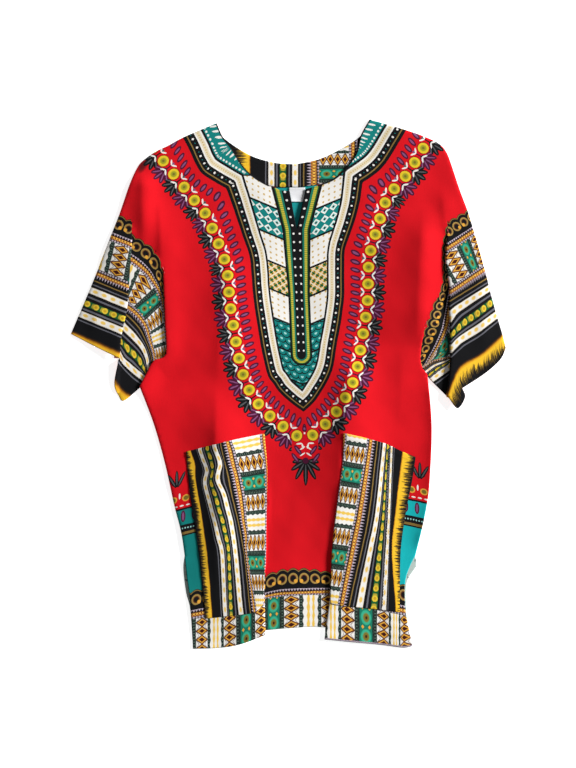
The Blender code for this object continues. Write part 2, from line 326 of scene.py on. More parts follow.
def creaseHeight(points):
    height = np.zeros(len(points))
    for line, leftWidth, rightWidth, top, fadeIn, fadeOut in creases.values():
        distance, along = lineField(line, points)
        sharp = np.exp((ridgeRound - np.hypot(distance, ridgeRound)) / leftWidth)
        form = np.where(distance < 0, sharp, bell(distance / rightWidth))
        height += top * taper(along, lengthOf(line), fadeIn, fadeOut) * form
    for angle, wave, top, phase in ripples:
        direction = np.array([math.cos(math.radians(angle)), math.sin(math.radians(angle))])
        height += top * np.sin(points @ direction * 2 * math.pi / wave + phase)
    return height


def neckLift(points):
    across = (points[:, 0] - garment["neckCentre"][0]) / garment["neckReach"][0]
    up = (points[:, 1] - garment["neckCentre"][1]) / garment["neckReach"][1]
    inside = 1 + (1 - np.hypot(across, up)) / garment["neckFade"]
    return (garment["layer"] + garment["clearance"]) * eased(inside)


# Distance onto the upper side of a fold, its height there and how far it has opened
def foldState(fold, points):
    distance, along = fromCurve(fold["line"], points)
    grown = fold["height"] * eased(along / fold["grows"])
    opened = eased((grown - garment["opensAt"]) / garment["opensOver"])
    return distance * fold["side"], grown, opened


def foldHeight(fold, points, low):
    distance, grown, opened = foldState(fold, points)
    above = grown * bell(distance / fold["reach"])
    if "lip" in fold:
        above = above + fold["lip"][0] * opened * np.exp(-np.maximum(distance, 0) / fold["lip"][1])
    below = grown * (1 - opened) * eased(1 + np.minimum(distance, 0) / garment["foldRamp"])
    return np.where(low, below, above)


# Which points lie below which fold
def belowFolds(points):
    return {name: foldState(fold, points)[0] < -garment["onFold"] for name, fold in foldedEdges.items()}


# Outer face of the front
def frontHeight(points, lowSides):
    height = 2 * garment["layer"] + garment["clearance"] + neckLift(points)
    height = height + np.maximum(creaseHeight(points), garment["deepest"])
    for name, fold in foldedEdges.items():
        height = height + foldHeight(fold, points, lowSides[name])
    return height


# Guides of the border print: w millimetres from its scalloped edge towards the cuff or hem, then the line
leftTopGuides = {
    0: [(-297, 265), (-190, 222)],
    171: [(-320, 86), (-240, 53)],
    183.5: [(-320, 72.5), (-240, 36)],
}
leftUnderGuides = {
    0: [(-224, 216), (-213, 209), (-197, 198), (-185, 182), (-180, 164), (-177, 130), (-176, 92)],
    32: [(-227, 182), (-213, 172), (-201, 161), (-193, 149), (-184, 134), (-178, 112), (-175, 78)],
    89: [(-231, 111), (-220, 103), (-209, 91), (-203, 80), (-199, 64), (-193, 43), (-190, 17)],
    113.5: [(-236, 82), (-220, 66), (-209, 53), (-203, 37), (-202, 26)],
    133: [(-240, 60), (-228, 49), (-215, 37), (-207, 22)],
    145: [(-241, 46), (-237, 38), (-230, 32), (-222, 25), (-213, 17.8)],
    154: [(-244, 41), (-239.4, 31.5), (-232, 23.7), (-223, 15.4), (-213, 7.6)],
    177: [(-250, 9), (-244, -1), (-238, -9), (-227, -16)],
    188: [(-262, -6), (-252, -18), (-240, -27), (-222, -32)],
}
rightTopGuides = {
    0: [(229, 234), (247, 245), (256, 250), (261, 253)],
    32: [(229, 196), (265, 220)],
    89: [(235, 133), (282, 165)],
    99: [(235, 121), (286, 152)],
    113.5: [(235, 99), (241, 107), (265, 123), (289, 138)],
    133: [(238, 74), (251, 87), (271, 101), (294, 119)],
    149.5: [(236, 54), (247, 65), (271, 79), (298, 98)],
    177: [(229, -15), (241, 16), (251, 28), (281, 46), (308, 71)],
    191: [(235, -21), (241, -6), (249, 8), (265, 20), (292, 38), (312, 57)],
    206: [(250, -34), (258, -11), (273, 6), (297, 23), (321, 46)],
}
rightUnderGuides = {
    0: [(224, 215), (221, 200), (221, 178), (222, 157), (219, 138), (208, 115), (196, 81), (188, 53),
        (184, 29), (184, 13), (189, 1)],
    32: [(234, 140), (228, 93), (224, 75), (215, 55), (206.5, 40.5), (199.5, 29), (195, 20)],
    89: [(236, 39), (230, 37.4), (208.6, 33.8), (200, 29)],
    145: [(234, 35), (230.4, 29.3), (219, 21.3), (207, 11.6), (203, 8.5)],
    154: [(236.5, 28), (233.5, 22), (222.3, 13.2), (210.2, 5.2), (205, 2)],
    177: [(240, -2), (231, -11), (224, -17)],
}
leftHemGuides = {
    0: [(-156, -301), (-95, -285), (-35, -270)],
    39: [(-151, -341), (-131, -337), (-92, -330.5), (-62, -325.4), (-35, -318)],
    82: [(-137, -386), (-98, -385.5), (-69, -381.5), (-34, -372)],
}
middleHemGuides = {
    0: [(-31, -273), (-10, -266), (13, -264), (34, -265), (57, -269)],
    32: [(-37, -306), (-12, -301), (13, -300), (57, -298)],
    39: [(-38, -308.5), (13, -303.5), (57, -303.5)],
    82: [(-38, -359), (13, -351), (57, -351)],
}
rightHemGuides = {
    0: [(60, -269), (117, -278), (178, -290)],
    39: [(57, -311), (117, -323), (178, -335)],
    82: [(54, -370), (81, -373), (132, -378.5), (165, -383), (179, -380)],
}

# Where a block of the border sits: a point, its place in the run of blocks, and the point of one ring;
# crossings are lines drawn across the border at places in the run
bandPlaces = {
    "leftTop": {"block": (-241, 178), "at": 70, "ring": (-244, 228), "stretch": 1.0, "crossings": {
        56: [(-252, 205), (-260.5, 165.4)], 70: [(-237.5, 190.7), (-244.9, 165.4)],
        84: [(-226, 192), (-233, 153)]}},
    "leftUnder": {"block": (-212, 141), "at": 70, "ring": (-205, 187), "stretch": 1.0, "runFrom": 32,
                  "crossings": {
        56: [(-216, 163), (-230, 128)], 70: [(-209.8, 148.5), (-223.1, 124.3)],
        84: [(-189.3, 135.2), (-217.1, 113.5)], 98: [(-185.7, 126), (-211, 104.5)],
        112: [(-182.1, 117.1), (-205, 95.4)], 126: [(-184.5, 99), (-199, 84.5)],
        140: [(-176, 86.9), (-197.7, 73.6)], 168: [(-176, 59.2), (-194.1, 53.2)]}},
    "rightTop": {"block": (241, 172), "at": 70, "ring": (242, 226), "stretch": 1.22, "crossings": {
        70: [(236.7, 179.5), (247.2, 160.6)], 85: [(245.9, 194.9), (260.4, 165)],
        98: [(255.1, 194), (265.3, 172)], 111: [(260.4, 203.8), (272.7, 168.6)],
        126: [(268.4, 203.8), (278.9, 169.4)]}},
    "rightUnder": {"block": (221, 43), "at": 98, "ring": (216, 99), "stretch": 1.15},
}
hemBlocks = {
    "left": {"x": (-141, -134, -124, -104, -85, -60, -39), "at": (-4, 1, 14, 42, 70, 98, 126), "ring": 140.0},
    "middle": {"x": (-21, 4, 33, 57), "at": (210, 238, 266, 294), "ring": 32.5},
    "right": {"x": (64, 84, 112, 138, 154, 166, 180), "at": (378, 406, 434, 462, 490, 518, 531),
              "ring": -158.2},
}
# Outline of the yoke: an arm from the shoulder to the corner, then a side down to the point
yoke = {
    "left": {"arm": [(-150.5, 352.5), (-141.7, 335.4), (-134, 318), (-125, 303.5), (-113, 294.7), (-98, 286),
                     (-89, 281)],
             "side": [(-89, 281), (-78, 250), (-66, 214), (-56, 185), (-53, 160), (-51.5, 138), (-49, 115),
                      (-45.5, 92), (-40, 58), (-35, 34), (-29, 11), (-21, 0), (-13, -11.5), (4, -27),
                      (22, -40)],
             "ring": [(-203, 352), (-184.5, 327), (-169, 307), (-151.5, 285), (-136, 265.5), (-119, 244.5),
                      (-107, 218), (-96.5, 192), (-88.5, 168), (-86, 144), (-84, 120), (-81, 97), (-77, 73),
                      (-73, 49), (-68, 26), (-61.5, 3), (-50.5, -18), (-35.5, -37), (-18, -53), (1, -67),
                      (24, -82)]},
    "right": {"arm": [(169.7, 365.2), (159, 347.3), (144.2, 323), (132, 308), (118.5, 297.1), (107, 289.5)],
              "side": [(107, 289.5), (102, 258), (95, 233), (87, 210), (81.5, 193), (80.5, 172), (80.5, 128),
                       (78, 105), (75, 84), (70, 58), (65, 27), (60, 12), (54, 0), (47, -11.5), (37, -26),
                       (22, -40)],
              "ring": [(202, 352), (177, 311), (163, 292), (147, 274), (136.5, 254), (130, 231), (123, 208),
                       (117, 185), (115, 161.5), (114.5, 137.5), (113.5, 113.5), (110.5, 90), (106.5, 66),
                       (102.5, 42.5), (98, 19), (90, -3.5), (79, -24.5), (65.5, -44), (49, -61.5), (24, -82)]},
}
sleeveFoot = -60.0          # below this height no sleeve hangs
guideReach = 400.0          # how far a guide runs on past its ends
guideGap = 1e-6             # the least room between two guides
crossed = {"until": 92.0, "blend": 14.0}    # beyond this the border's run is no longer bent


# Place across and along a border that runs between guide lines, for many points
def bandField(guides, points):
    ws = list(guides)
    lines = [openCurve(line, garment["guidePitch"]) if len(line) > 2 else np.array(line, float)
             for line in guides.values()]
    first, last = lines[0], lines[-1]
    sign = 1.0 if lineField(first, last.mean(axis=0)[None], guideReach)[0][0] > 0 else -1.0
    anchor = (first[len(first) // 2] if len(first) > 2 else first.mean(axis=0))[None]
    across, along = [], []
    for line in lines:
        offset = lineField(line, anchor, guideReach)[1][0]
        distance, run = lineField(line, points, guideReach)
        across.append(distance * sign)
        along.append(run - offset)
        lengths = np.concatenate([[0], np.cumsum(np.hypot(*np.diff(line, axis=0).T))])
        anchor = np.array([[np.interp(offset, lengths, line[:, k]) for k in range(2)]])
    w = ws[0] + across[0]
    run = along[0].copy()
    for i in range(len(ws) - 1):
        share = across[i] / np.maximum(across[i] - across[i + 1], guideGap)
        between = (across[i] >= 0) & (across[i + 1] < 0)
        w = np.where(between, ws[i] + (ws[i + 1] - ws[i]) * share, w)
        run = np.where(between, along[i] + (along[i + 1] - along[i]) * share, run)
    beyond = across[-1] >= 0
    w = np.where(beyond, ws[-1] + across[-1], w)
    run = np.where(beyond, along[-1], run)
    return w, run


# Place across a border, place in its run of blocks and place in its run of rings
def placedBand(guides, place, points):
    marked = np.vstack([points, np.array([place["block"], place["ring"]], float)])
    w, run = bandField(guides, marked)
    if "runFrom" in place:
        across = fromGuide(guides[place["runFrom"]], marked)[1]
        across = across + (run - across)[-2]
        run = across + (run - across) * eased((w - crossed["until"]) / crossed["blend"])
    run = run * place["stretch"]
    w, run, (atBlock, atRing) = w[:-2], run[:-2], run[-2:]
    blocks = run - atBlock + place["at"]
    if "crossings" in place:
        across = bandField(place["crossings"], points)[0]
        blocks = across + (blocks - across) * eased((w - crossed["until"]) / crossed["blend"])
    return w, blocks, run - atRing + borderPrint["ringPitch"] / 2


def tableRun(x, xs, values):
    run = np.interp(x, xs, values)
    slopeLow = (values[1] - values[0]) / (xs[1] - xs[0])
    slopeHigh = (values[-1] - values[-2]) / (xs[-1] - xs[-2])
    run = np.where(x < xs[0], values[0] + (x - xs[0]) * slopeLow, run)
    return np.where(x > xs[-1], values[-1] + (x - xs[-1]) * slopeHigh, run)


borderPrint = {"ringPitch": 15.8, "blockPitch": 28.0, "tickPitch": 13.8, "blockStart": 39.0, "blockEnd": 82.0,
               "beads": (37.2, 84.0), "braids": (32.7, 88.7), "whites": (113.5, 149.5), "leaves": 133.0}


# below this line of its cuff only the under side of the left sleeve shows
leftCuff = {"x": -243, "y": 36.6, "slope": -0.486, "until": -180}
# the print under a sleeve stops at the body's fold; before the fold's start there is nothing to stop it
bodyFold = {"start": 1.0, "none": -1e3}
noStrip = 900.0             # a height at which no strip is printed


# Attributes that carry the print over the front's points
def frontPrint(points, low):
    bodies = {}
    for side in ("left", "right"):
        distance, along = fromCurve(foldedEdges[side + "Body"]["line"], points)
        bodies[side] = np.where(along > bodyFold["start"], np.abs(distance), bodyFold["none"])
    sleeves = {"leftTop": leftTopGuides, "leftUnder": leftUnderGuides, "rightTop": rightTopGuides,
               "rightUnder": rightUnderGuides}
    fields = {name: placedBand(guides, bandPlaces[name], points) for name, guides in sleeves.items()}
    cuffLine = leftCuff["y"] + leftCuff["slope"] * (points[:, 0] - leftCuff["x"])
    under = (points[:, 0] < leftCuff["until"]) & (points[:, 1] < cuffLine)
    low = dict(low, leftSleeve=low["leftSleeve"] | under)
    hems = {}
    for name, guides in (("left", leftHemGuides), ("middle", middleHemGuides), ("right", rightHemGuides)):
        blocks = hemBlocks[name]
        hems[name] = (bandField(guides, points)[0], tableRun(points[:, 0], blocks["x"], blocks["at"]),
                      points[:, 0] + blocks["ring"])
    band = np.zeros((len(points), 3))
    for axis in range(3):
        halves = []
        for side in ("left", "right"):
            under = low[side + "Sleeve"]
            half = np.where(under, fields[side + "Under"][axis], fields[side + "Top"][axis])
            if axis == 0:
                half = np.where(under & ~low[side + "Body"], np.minimum(half, -bodies[side]), half)
            halves.append(half)
        sleeve = np.where(points[:, 0] < 0, *halves)
        hem = np.where(~low["leftTuck"], hems["left"][axis],
                       np.where(~low["rightTuck"], hems["right"][axis], hems["middle"][axis]))
        band[:, axis] = np.where(points[:, 1] > sleeveFoot, sleeve, hem)
    outs, runs, rings = [], [], []
    for half, outward in (("left", -1.0), ("right", 1.0)):
        out, run = yokeField(half, points, outward)
        outs.append(out)
        runs.append(run)
        gap, along = fromGuide(yoke[half]["ring"], points)
        rings.append((gap * outward, guideLength(yoke[half]["ring"]) - along))
    onLeft = points[:, 0] < yoke["left"]["ring"][-1][0]
    for values, left, right in zip((outs, runs), *rings):
        values.append(np.where(onLeft, left, right))
    neckGap = nearestOf([frontEdges["left neck"], frontEdges["right neck"]], points, garment["guidePitch"])
    hemGap = nearestOf([frontEdges["right hem"]], points, garment["guidePitch"])
    return {
        "band": band,
        "strip": np.where(points[:, 1] > sleeveFoot, noStrip, -band[:, 0]),
        "yokeOut": np.stack(outs, axis=1),
        "yokeRun": np.stack(runs, axis=1),
        "gaps": np.stack([neckGap, hemGap, np.zeros(len(points))], axis=1),
    }


def guideLength(stations):
    return lengthOf(openCurve(stations, garment["guidePitch"]))


# Distance out of one half of the yoke, and the length back along its edge from the point
def yokeField(half, points, outward):
    fields = []
    for key in ("arm", "side"):
        length = guideLength(yoke[half][key])
        distance, along = fromGuide(yoke[half][key], points)
        fields.append((distance * outward, length - along, length))
    (armOut, armRun, _), (sideOut, sideRun, sideLength) = fields
    onArm = armOut < sideOut
    return np.where(onArm, armOut, sideOut), np.where(onArm, armRun + sideLength, sideRun)


# Cuts the net along each fold, with copies of the fold's points for the layer below it
def foldedNet(flat, faces):
    centres = flat[faces].mean(axis=1)
    verts = flat
    lowSides = belowFolds(flat)
    seams = []
    for name, fold in foldedEdges.items():
        distance, along = fromCurve(fold["line"], flat)
        onLine = sorted(np.nonzero(np.abs(distance) < garment["onFold"])[0], key=lambda i: along[i])
        copies = {i: len(verts) + k for k, i in enumerate(onLine)}
        verts = np.vstack([verts, flat[onLine]])
        for other in lowSides:
            lowSides[other] = np.concatenate([lowSides[other], lowSides[other][onLine]])
        lowSides[name][onLine] = False
        lowSides[name][list(copies.values())] = True
        touching = np.isin(faces, onLine) & (foldState(fold, centres)[0] < 0)[:, None]
        faces = np.where(touching, np.vectorize(lambda i: copies.get(i, i))(faces), faces)
        seams.append((fold, onLine, copies))
    return verts, faces, lowSides, seams


# How a folded edge rolls: radius, but at most a share of the step; rows out and down in radii; then how far
# the cloth runs back under it, the step at which it does so fully, the air there, and the lower layer's drop
rollForm = {"radius": 1.3, "share": 0.45, "rows": ((0.75, 0.32), (1.0, 1.0), (0.7, 1.7)), "tuck": 7.0,
            "fullStep": 2.5, "air": 0.2, "tail": 2.0, "settle": 0.25}


# Rolls the upper edge of each fold over and runs the lower layer under it
def rollSeams(verts, height, faces, seams):
    faces = [tuple(f) for f in faces]
    source = list(range(len(verts)))
    points, heights = [tuple(p) for p in verts], list(height)
    for fold, onLine, copies in seams:
        line = verts[onLine]
        tangent = np.gradient(line, axis=0)
        tangent /= np.linalg.norm(tangent, axis=1)[:, None]
        toLow = np.stack([tangent[:, 1], -tangent[:, 0]], axis=1) * fold["side"]
        gap = np.array([heights[i] - heights[copies[i]] for i in onLine])
        size = np.minimum(fold.get("roll", rollForm["radius"]), np.maximum(gap, 0) * rollForm["share"])
        depth = rollForm["tuck"] * eased(gap / rollForm["fullStep"])
        shapes = [(out * size, down * size) for out, down in rollForm["rows"]]
        shapes.append((-depth, np.minimum(gap - rollForm["air"], rollForm["tail"] * size)))
        rows = [onLine]
        for across, drop in shapes:
            rows.append(list(range(len(points), len(points) + len(onLine))))
            points += [tuple(p) for p in line + toLow * across[:, None]]
            heights += [heights[i] - max(0.0, d) for i, d in zip(onLine, drop)]
            source += onLine
        lower = [copies[i] for i in onLine]
        under = list(range(len(points), len(points) + len(onLine)))
        points += [tuple(p) for p in line - toLow * depth[:, None]]
        heights += [heights[i] - rollForm["settle"] * s for i, s in zip(lower, size)]
        source += lower
        for above, below in list(zip(rows, rows[1:])) + [(under, lower)]:
            for k in range(len(onLine) - 1):
                quad = (above[k], above[k + 1], below[k + 1], below[k])
                faces.append(quad if fold["side"] < 0 else quad[::-1])
    return np.array(points), np.array(heights), faces, np.array(source)


# Height changes along the front's own edges: sewn edges roll down, open ones lift and wave a little
def edgeHeight(points):
    change = np.zeros(len(points))
    for name, (width, drop) in rolledEdges.items():
        gap = np.abs(fromCurve(frontEdges[name], points, garment["edgePitch"])[0])
        change = np.minimum(change, -drop * rolled(1 - gap / width))
    for name, (lift, reach) in liftedEdges.items():
        gap, along = fromCurve(frontEdges[name], points, garment["edgePitch"])
        ends = taper(along, lengthOf(frontEdges[name]), edgeForm["fade"], edgeForm["fade"])
        change += lift * ends * np.exp(-np.abs(gap) / reach)
    for name, (lift, wave) in wavedEdges.items():
        gap, along = fromCurve(frontEdges[name], points, garment["edgePitch"])
        swing = (1 - edgeForm["steady"]) * np.sin(along * 2 * math.pi / wave)
        change += lift * bell(gap / edgeForm["reach"]) * (edgeForm["steady"] + swing)
    return change


def addPiece(name, data):
    piece = bpy.data.objects.new(name, data)
    bpy.context.scene.collection.objects.link(piece)
    return piece


def addWall(piece, thickness, lining=0):
    wall = piece.modifiers.new("wall", "SOLIDIFY")
    wall.thickness = thickness * mm
    wall.offset = -1.0
    wall.material_offset = lining


def meshPiece(bm, name, material):
    mesh = bpy.data.meshes.new(name)
    bm.to_mesh(mesh)
    bm.free()
    mesh.materials.append(material)
    mesh.shade_smooth()
    return addPiece(name, mesh)


def layCloth(name, points, heights, faces, attributes, materials):
    mesh = bpy.data.meshes.new(name)
    coordinates = np.column_stack([points, heights]) * mm
    mesh.from_pydata(coordinates.tolist(), [], [tuple(int(i) for i in face) for face in faces])
    mesh.update()
    for key, values in attributes.items():
        kind, field = ("FLOAT_VECTOR", "vector") if values.ndim == 2 else ("FLOAT", "value")
        layer = mesh.attributes.new(key, kind, "POINT")
        layer.data.foreach_set(field, np.ascontiguousarray(values, np.float32).ravel())
    for material in materials:
        mesh.materials.append(material)
    mesh.shade_smooth()
    piece = addPiece(name, mesh)
    addWall(piece, garment["thickness"], len(materials) - 1)
    print(name, len(mesh.polygons), "faces")
    return piece


def makeFront():
    lines = [openCurve(fold["line"]) for fold in foldedEdges.values()]
    flat, faces = clothNet(ringOutline(frontEdges), lines, garment["latticePitch"], garment["frontRim"])
    verts, faces, low, seams = foldedNet(flat, faces)
    height = frontHeight(verts, low) + edgeHeight(verts)
    attributes = frontPrint(verts, low)
    points, heights, faces, source = rollSeams(verts, height, faces, seams)
    attributes = {key: value[source] for key, value in attributes.items()}
    return layCloth("shirt_front", points, heights, faces, attributes, [frontCotton, reverseCotton])


# The back, face down on the floor, with its own neck and slits
backEdges = {
    "left side slit": [(-149, -246), (-151, -266), (-147, -300), (-141, -325), (-137, -380.6)],
    "left hem": [(-137, -380.6), (-98, -379), (-69, -374), (-40, -363)],
    "middle hem": [(-40, -353), (0, -349), (33, -347), (58, -349)],
    "right hem": [(58, -367), (81, -370), (132, -375), (165, -379), (179, -377)],
    "right side slit": [(179, -377), (174, -354), (170, -323), (171, -285), (184, -262), (183, -246)],
    "right neck": [(117, 380.6), (104, 357), (74, 337), (43, 323), (11, 316)],
    "left neck": [(11, 316), (-18, 318), (-55, 329), (-94, 355), (-103, 375)],
}
# The back stays inside the front where their free edges meet
backInset = {"depth": 1.5, "near": 15, "edges": ("left cuff", "left underarm", "left hem", "middle hem",
                                                 "right hem", "right underarm", "right cuff")}
backForm = {"bottom": 0.05, "wave": 0.06, "lengths": (23, 61), "outlinePitch": 4.5}
facing = {"lower": [(142, 371), (128, 345), (103, 314), (62, 292), (24, 284), (4, 283), (-28, 285),
                    (-70, 302), (-105, 334), (-126, 362)], "bottom": 1.3, "thickness": 0.9,
          "pitch": 3.0, "rim": (1.2, 2.6), "wave": (0.18, 9.0), "neckRoll": (0.45, 2.2),
          "pressed": (0.25, 1.6), "turnedHem": {"step": 0.25, "from": 1.2, "to": 5.0, "ramp": 1.6}}
# its foot curls up, and its head climbs over the facing's edge
label = {"left": 1.0, "right": 24.0, "foot": 262.0, "head": 282.4, "pitch": 0.9, "bottom": 1.35,
         "thickness": 0.4, "lift": 0.45, "curl": (0.5, 2.5), "sway": (0.35, 5.5),
         "wave": {"height": 0.25, "length": 3.1, "phase": 0.4, "y": 266, "reach": 6},
         "climb": {"height": 0.35, "y": 279, "ramp": 1.2}}
# x along the neckline against the place across the border that it is cut from
facingStripes = {"x": [-84, -67, -54, -35, -28.3, -20, -12.5, -2.7, 5.7, 14, 21, 23.3, 32, 42, 44.5, 87, 93],
                 "w": [206, 191, 177, 161, 154, 145, 137.6, 128.4, 118, 109, 100.2, 98.2, 91.6, 86, 82, 39,
                       33]}
facingBlocks = {"at": 98.0, "y": 302.0, "stretch": 1.33}


def makeBack():
    edges = {name: backEdges.get(name, stations) for name, stations in frontEdges.items()
             if name != "neck slit"}
    outline = ringOutline(edges, backForm["outlinePitch"])
    drawn = np.vstack([np.array(edges[name], float) for name in backInset["edges"]])
    near = np.hypot(*(outline[:, None] - drawn[None]).transpose(2, 0, 1)).min(axis=1) < backInset["near"]
    outline = outline + inwardOf(outline) * (near * backInset["depth"])[:, None]
    flat, faces = clothNet(outline, [], garment["backPitch"], garment["backRim"])
    across, up = (flat[:, k] / backForm["lengths"][k] for k in range(2))
    height = backForm["bottom"] + backForm["wave"] * (1 + np.sin(across + up))
    attributes = frontPrint(flat, belowFolds(flat))
    # the printed face looks down, so the net is turned over
    return layCloth("shirt_back", flat, height, faces[:, ::-1], attributes, [backCotton, reverseCotton])


def makeFacing():
    rightNeck, leftNeck, lower = backEdges["right neck"], backEdges["left neck"], facing["lower"]
    edges = {"right neck": rightNeck, "left neck": leftNeck, "left end": [leftNeck[-1], lower[-1]],
             "lower": lower[::-1], "right end": [lower[0], rightNeck[0]]}
    flat, faces = clothNet(ringOutline(edges), [], facing["pitch"], facing["rim"])
    x, y = flat.T
    toNeck = nearestOf([rightNeck[:-1] + leftNeck], flat)
    toLower = nearestOf([lower], flat)
    (wave, length), (drop, width), (pressed, ramp) = (facing[key] for key in ("wave", "neckRoll", "pressed"))
    hem = facing["turnedHem"]
    height = facing["bottom"] + facing["thickness"] + wave * np.sin(x / length) * bell(toLower / length)
    height -= drop * rolled(1 - toNeck / width) + pressed * np.clip(1 - toLower / ramp, 0, 1)
    height += hem["step"] * eased(1 - (toLower - hem["to"]) / hem["ramp"]) * (toLower > hem["from"])
    run = facingBlocks["stretch"] * (y - facingBlocks["y"]) + facingBlocks["at"]
    attributes = {"band": np.stack([tableRun(x, facingStripes["x"], facingStripes["w"]), run, y], axis=1),
                  "hemGap": np.minimum(toLower, toNeck)}
    return layCloth("neck_facing", flat, height, faces, attributes, [facingCotton])


pockets = {
    "pocket_left": {
        "top": [(-34, -71), (-79, -80), (-96, -84), (-127, -92), (-147, -97)],
        "outer": [(-147, -97), (-142, -152), (-133, -210), (-126, -267), (-119, -337)],
        "foot": [(-119, -337), (-84, -333), (-50, -328), (-35, -315)],
        "inner": [(-35, -315), (-34, -272), (-32, -253), (-31, -182), (-30, -133), (-31, -108), (-34, -71)],
        # place across the border, and its line down the pocket
        "columns": {
            198: [(-148, -96.5), (-144.5, -120.5), (-139.5, -139.5), (-136, -164), (-132, -188),
                  (-129, -220), (-125.5, -251.5), (-120, -318), (-118, -345)],
            177: [(-139.5, -96.5), (-133, -115), (-133, -133.5), (-129, -158), (-125.5, -177),
                  (-122, -201), (-118.5, -225.5), (-115, -251.5), (-110, -318), (-108, -345)],
            149.5: [(-126.5, -95), (-122, -108.5), (-118.5, -117), (-116.5, -125.5), (-118.5, -133),
                    (-119.5, -139.5), (-118.5, -148), (-115, -161.5), (-111, -176.5), (-106, -195),
                    (-100, -220), (-94.5, -244.5), (-91, -318), (-89, -345)],
            133: [(-115.5, -95), (-111.5, -105), (-108.5, -120.5), (-109, -129.5), (-111, -138),
                  (-108.5, -148), (-103, -164), (-99.5, -178), (-94.5, -192.5), (-90.5, -210),
                  (-87, -225.5), (-85, -244.5), (-83, -318), (-82, -345)],
            113.5: [(-106, -89), (-102.5, -99), (-98.5, -108.5), (-97.5, -117), (-100, -125.5),
                    (-101.5, -133.5), (-100, -141), (-95, -151), (-91, -161.5), (-87, -178),
                    (-82.5, -195.5), (-78.5, -220), (-75.5, -244.5), (-69, -318), (-66, -345)],
            99: [(-96.5, -87.5), (-92, -108.5), (-85.5, -133.5), (-81, -158), (-75, -182.5), (-69.5, -207),
                 (-64.5, -233), (-61.5, -251.5), (-55, -318), (-52, -345)],
            82: [(-81, -81), (-75.5, -96.5), (-71.5, -115), (-67, -133.5), (-63, -152.5), (-60.5, -170.5),
                 (-59.5, -195.5), (-56.5, -220), (-58.5, -244.5), (-46, -318), (-42, -345)],
            39: [(-40.6, -80.5), (-33.8, -133.5), (-33.8, -244.5), (-35.8, -318), (-37.3, -345)],
        },
        "narrow": {149.5: -2.8, 113.5: -3.2},
        "run": (-0.979, -41.0), "slant": (0.2, -55.0, -85.0, -260.0, 0.0),
    },
    "pocket_right": {
        "top": [(79, -70), (110, -77), (141, -86), (164, -97), (183, -105)],
        "outer": [(183, -105), (178, -139), (169, -184), (162, -234), (160.5, -277), (160, -328)],
        "foot": [(160, -328), (119, -323), (80, -319), (60, -315)],
        "inner": [(60, -315), (61, -282), (63, -234), (70, -170), (75, -133), (78, -108), (79, -70)],
        "columns": {place: list(zip(xs, (-60, -88, -184, -240, -310, -340))) for place, xs in {
            37: (83, 81, 68, 57, 44, 40), 84: (115, 113, 97, 86, 73, 69), 99: (129, 127, 116, 105, 89, 84),
            113.5: (142, 139, 129, 118, 104, 99), 133: (147, 144, 139, 134, 122, 118),
            149.5: (148.5, 147, 144, 142, 139, 137), 177: (166, 164, 153, 148, 153, 154),
            200: (186, 184, 170, 162, 165, 166),
        }.items()},
        "narrow": {149.5: 2.4},
        "run": (-0.923, -21.8), "slant": (-0.2, 88.7, -85.0, -300.0, -0.14),
    },
}
pocketFit = {"clearance": 0.35, "thickness": 0.8, "gape": 2.6, "gapeReach": 26.0, "hem": 9.0, "hemStep": 0.45,
             "hemRamp": 1.6, "pitch": 2.4, "rim": (1.2, 2.4), "mouthBlunt": 0.8, "edgeDrop": (0.35, 1.3),
             "seam": (0.25, 2.6, 0.9), "pucker": (0.12, 4.5, 7)}
whiteHalf = 4.5             # half the width of a white stripe in the border


def pocketPrint(shape, points):
    x, y = points.T
    across, row = [], []
    for place, line in shape["columns"].items():
        smooth = openCurve(line)
        middle = np.interp(-y, -smooth[:, 1], smooth[:, 0])
        half = shape["narrow"].get(place, 0.0)
        for side in (-1, 1) if half else (0,):
            across.append(place + side * whiteHalf)
            row.append(middle + side * half)
    across, row = np.array(across), np.stack(row, axis=1)
    order = np.argsort(row[0])
    across = across[order]
    w = np.array([tableRun(np.array([at]), stations[order], across)[0] for at, stations in zip(x, row)])
    slant, centre, top, foot, footSlant = shape["slant"]
    tilt = footSlant + (slant - footSlant) * np.clip((y - foot) / (top - foot), 0, 1)
    slope, start = shape["run"]
    run = slope * (y - tilt * (x - centre)) + start
    return np.stack([w, run, run], axis=1)


def makePocket(name):
    shape = pockets[name]
    outline = ringOutline({key: shape[key] for key in ("top", "outer", "foot", "inner")}, pocketFit["pitch"])
    flat, faces = clothNet(outline, [], pocketFit["pitch"], pocketFit["rim"])
    above = {fold: np.zeros(len(flat), bool) for fold in foldedEdges}
    height = frontHeight(flat, above) + pocketFit["clearance"] + pocketFit["thickness"]
    along = fromCurve(shape["top"], flat)[1] / lengthOf(shape["top"])
    depth = nearestOf([shape["top"]], flat)
    mouth = np.clip(np.sin(math.pi * np.clip(along, 0, 1)), 0, 1) ** pocketFit["mouthBlunt"]
    height += pocketFit["gape"] * mouth * bell(depth / pocketFit["gapeReach"])
    height += pocketFit["hemStep"] * eased((pocketFit["hem"] - depth) / pocketFit["hemRamp"])
    sewn = nearestOf([shape[key] for key in ("outer", "foot", "inner")], flat)
    (drop, width), (dip, seam, seamWidth) = pocketFit["edgeDrop"], pocketFit["seam"]
    height -= drop * bell(sewn / width) + dip * bell((sewn - seam) / seamWidth)
    pucker, length, reach = pocketFit["pucker"]
    height += pucker * np.sin(fromCurve(shape["outer"], flat)[1] / length) * bell(sewn / reach)
    attributes = {"band": pocketPrint(shape, flat), "hemGap": np.minimum(sewn, depth)}
    return layCloth(name + "_cloth", flat, height, faces, attributes, [pocketCotton])


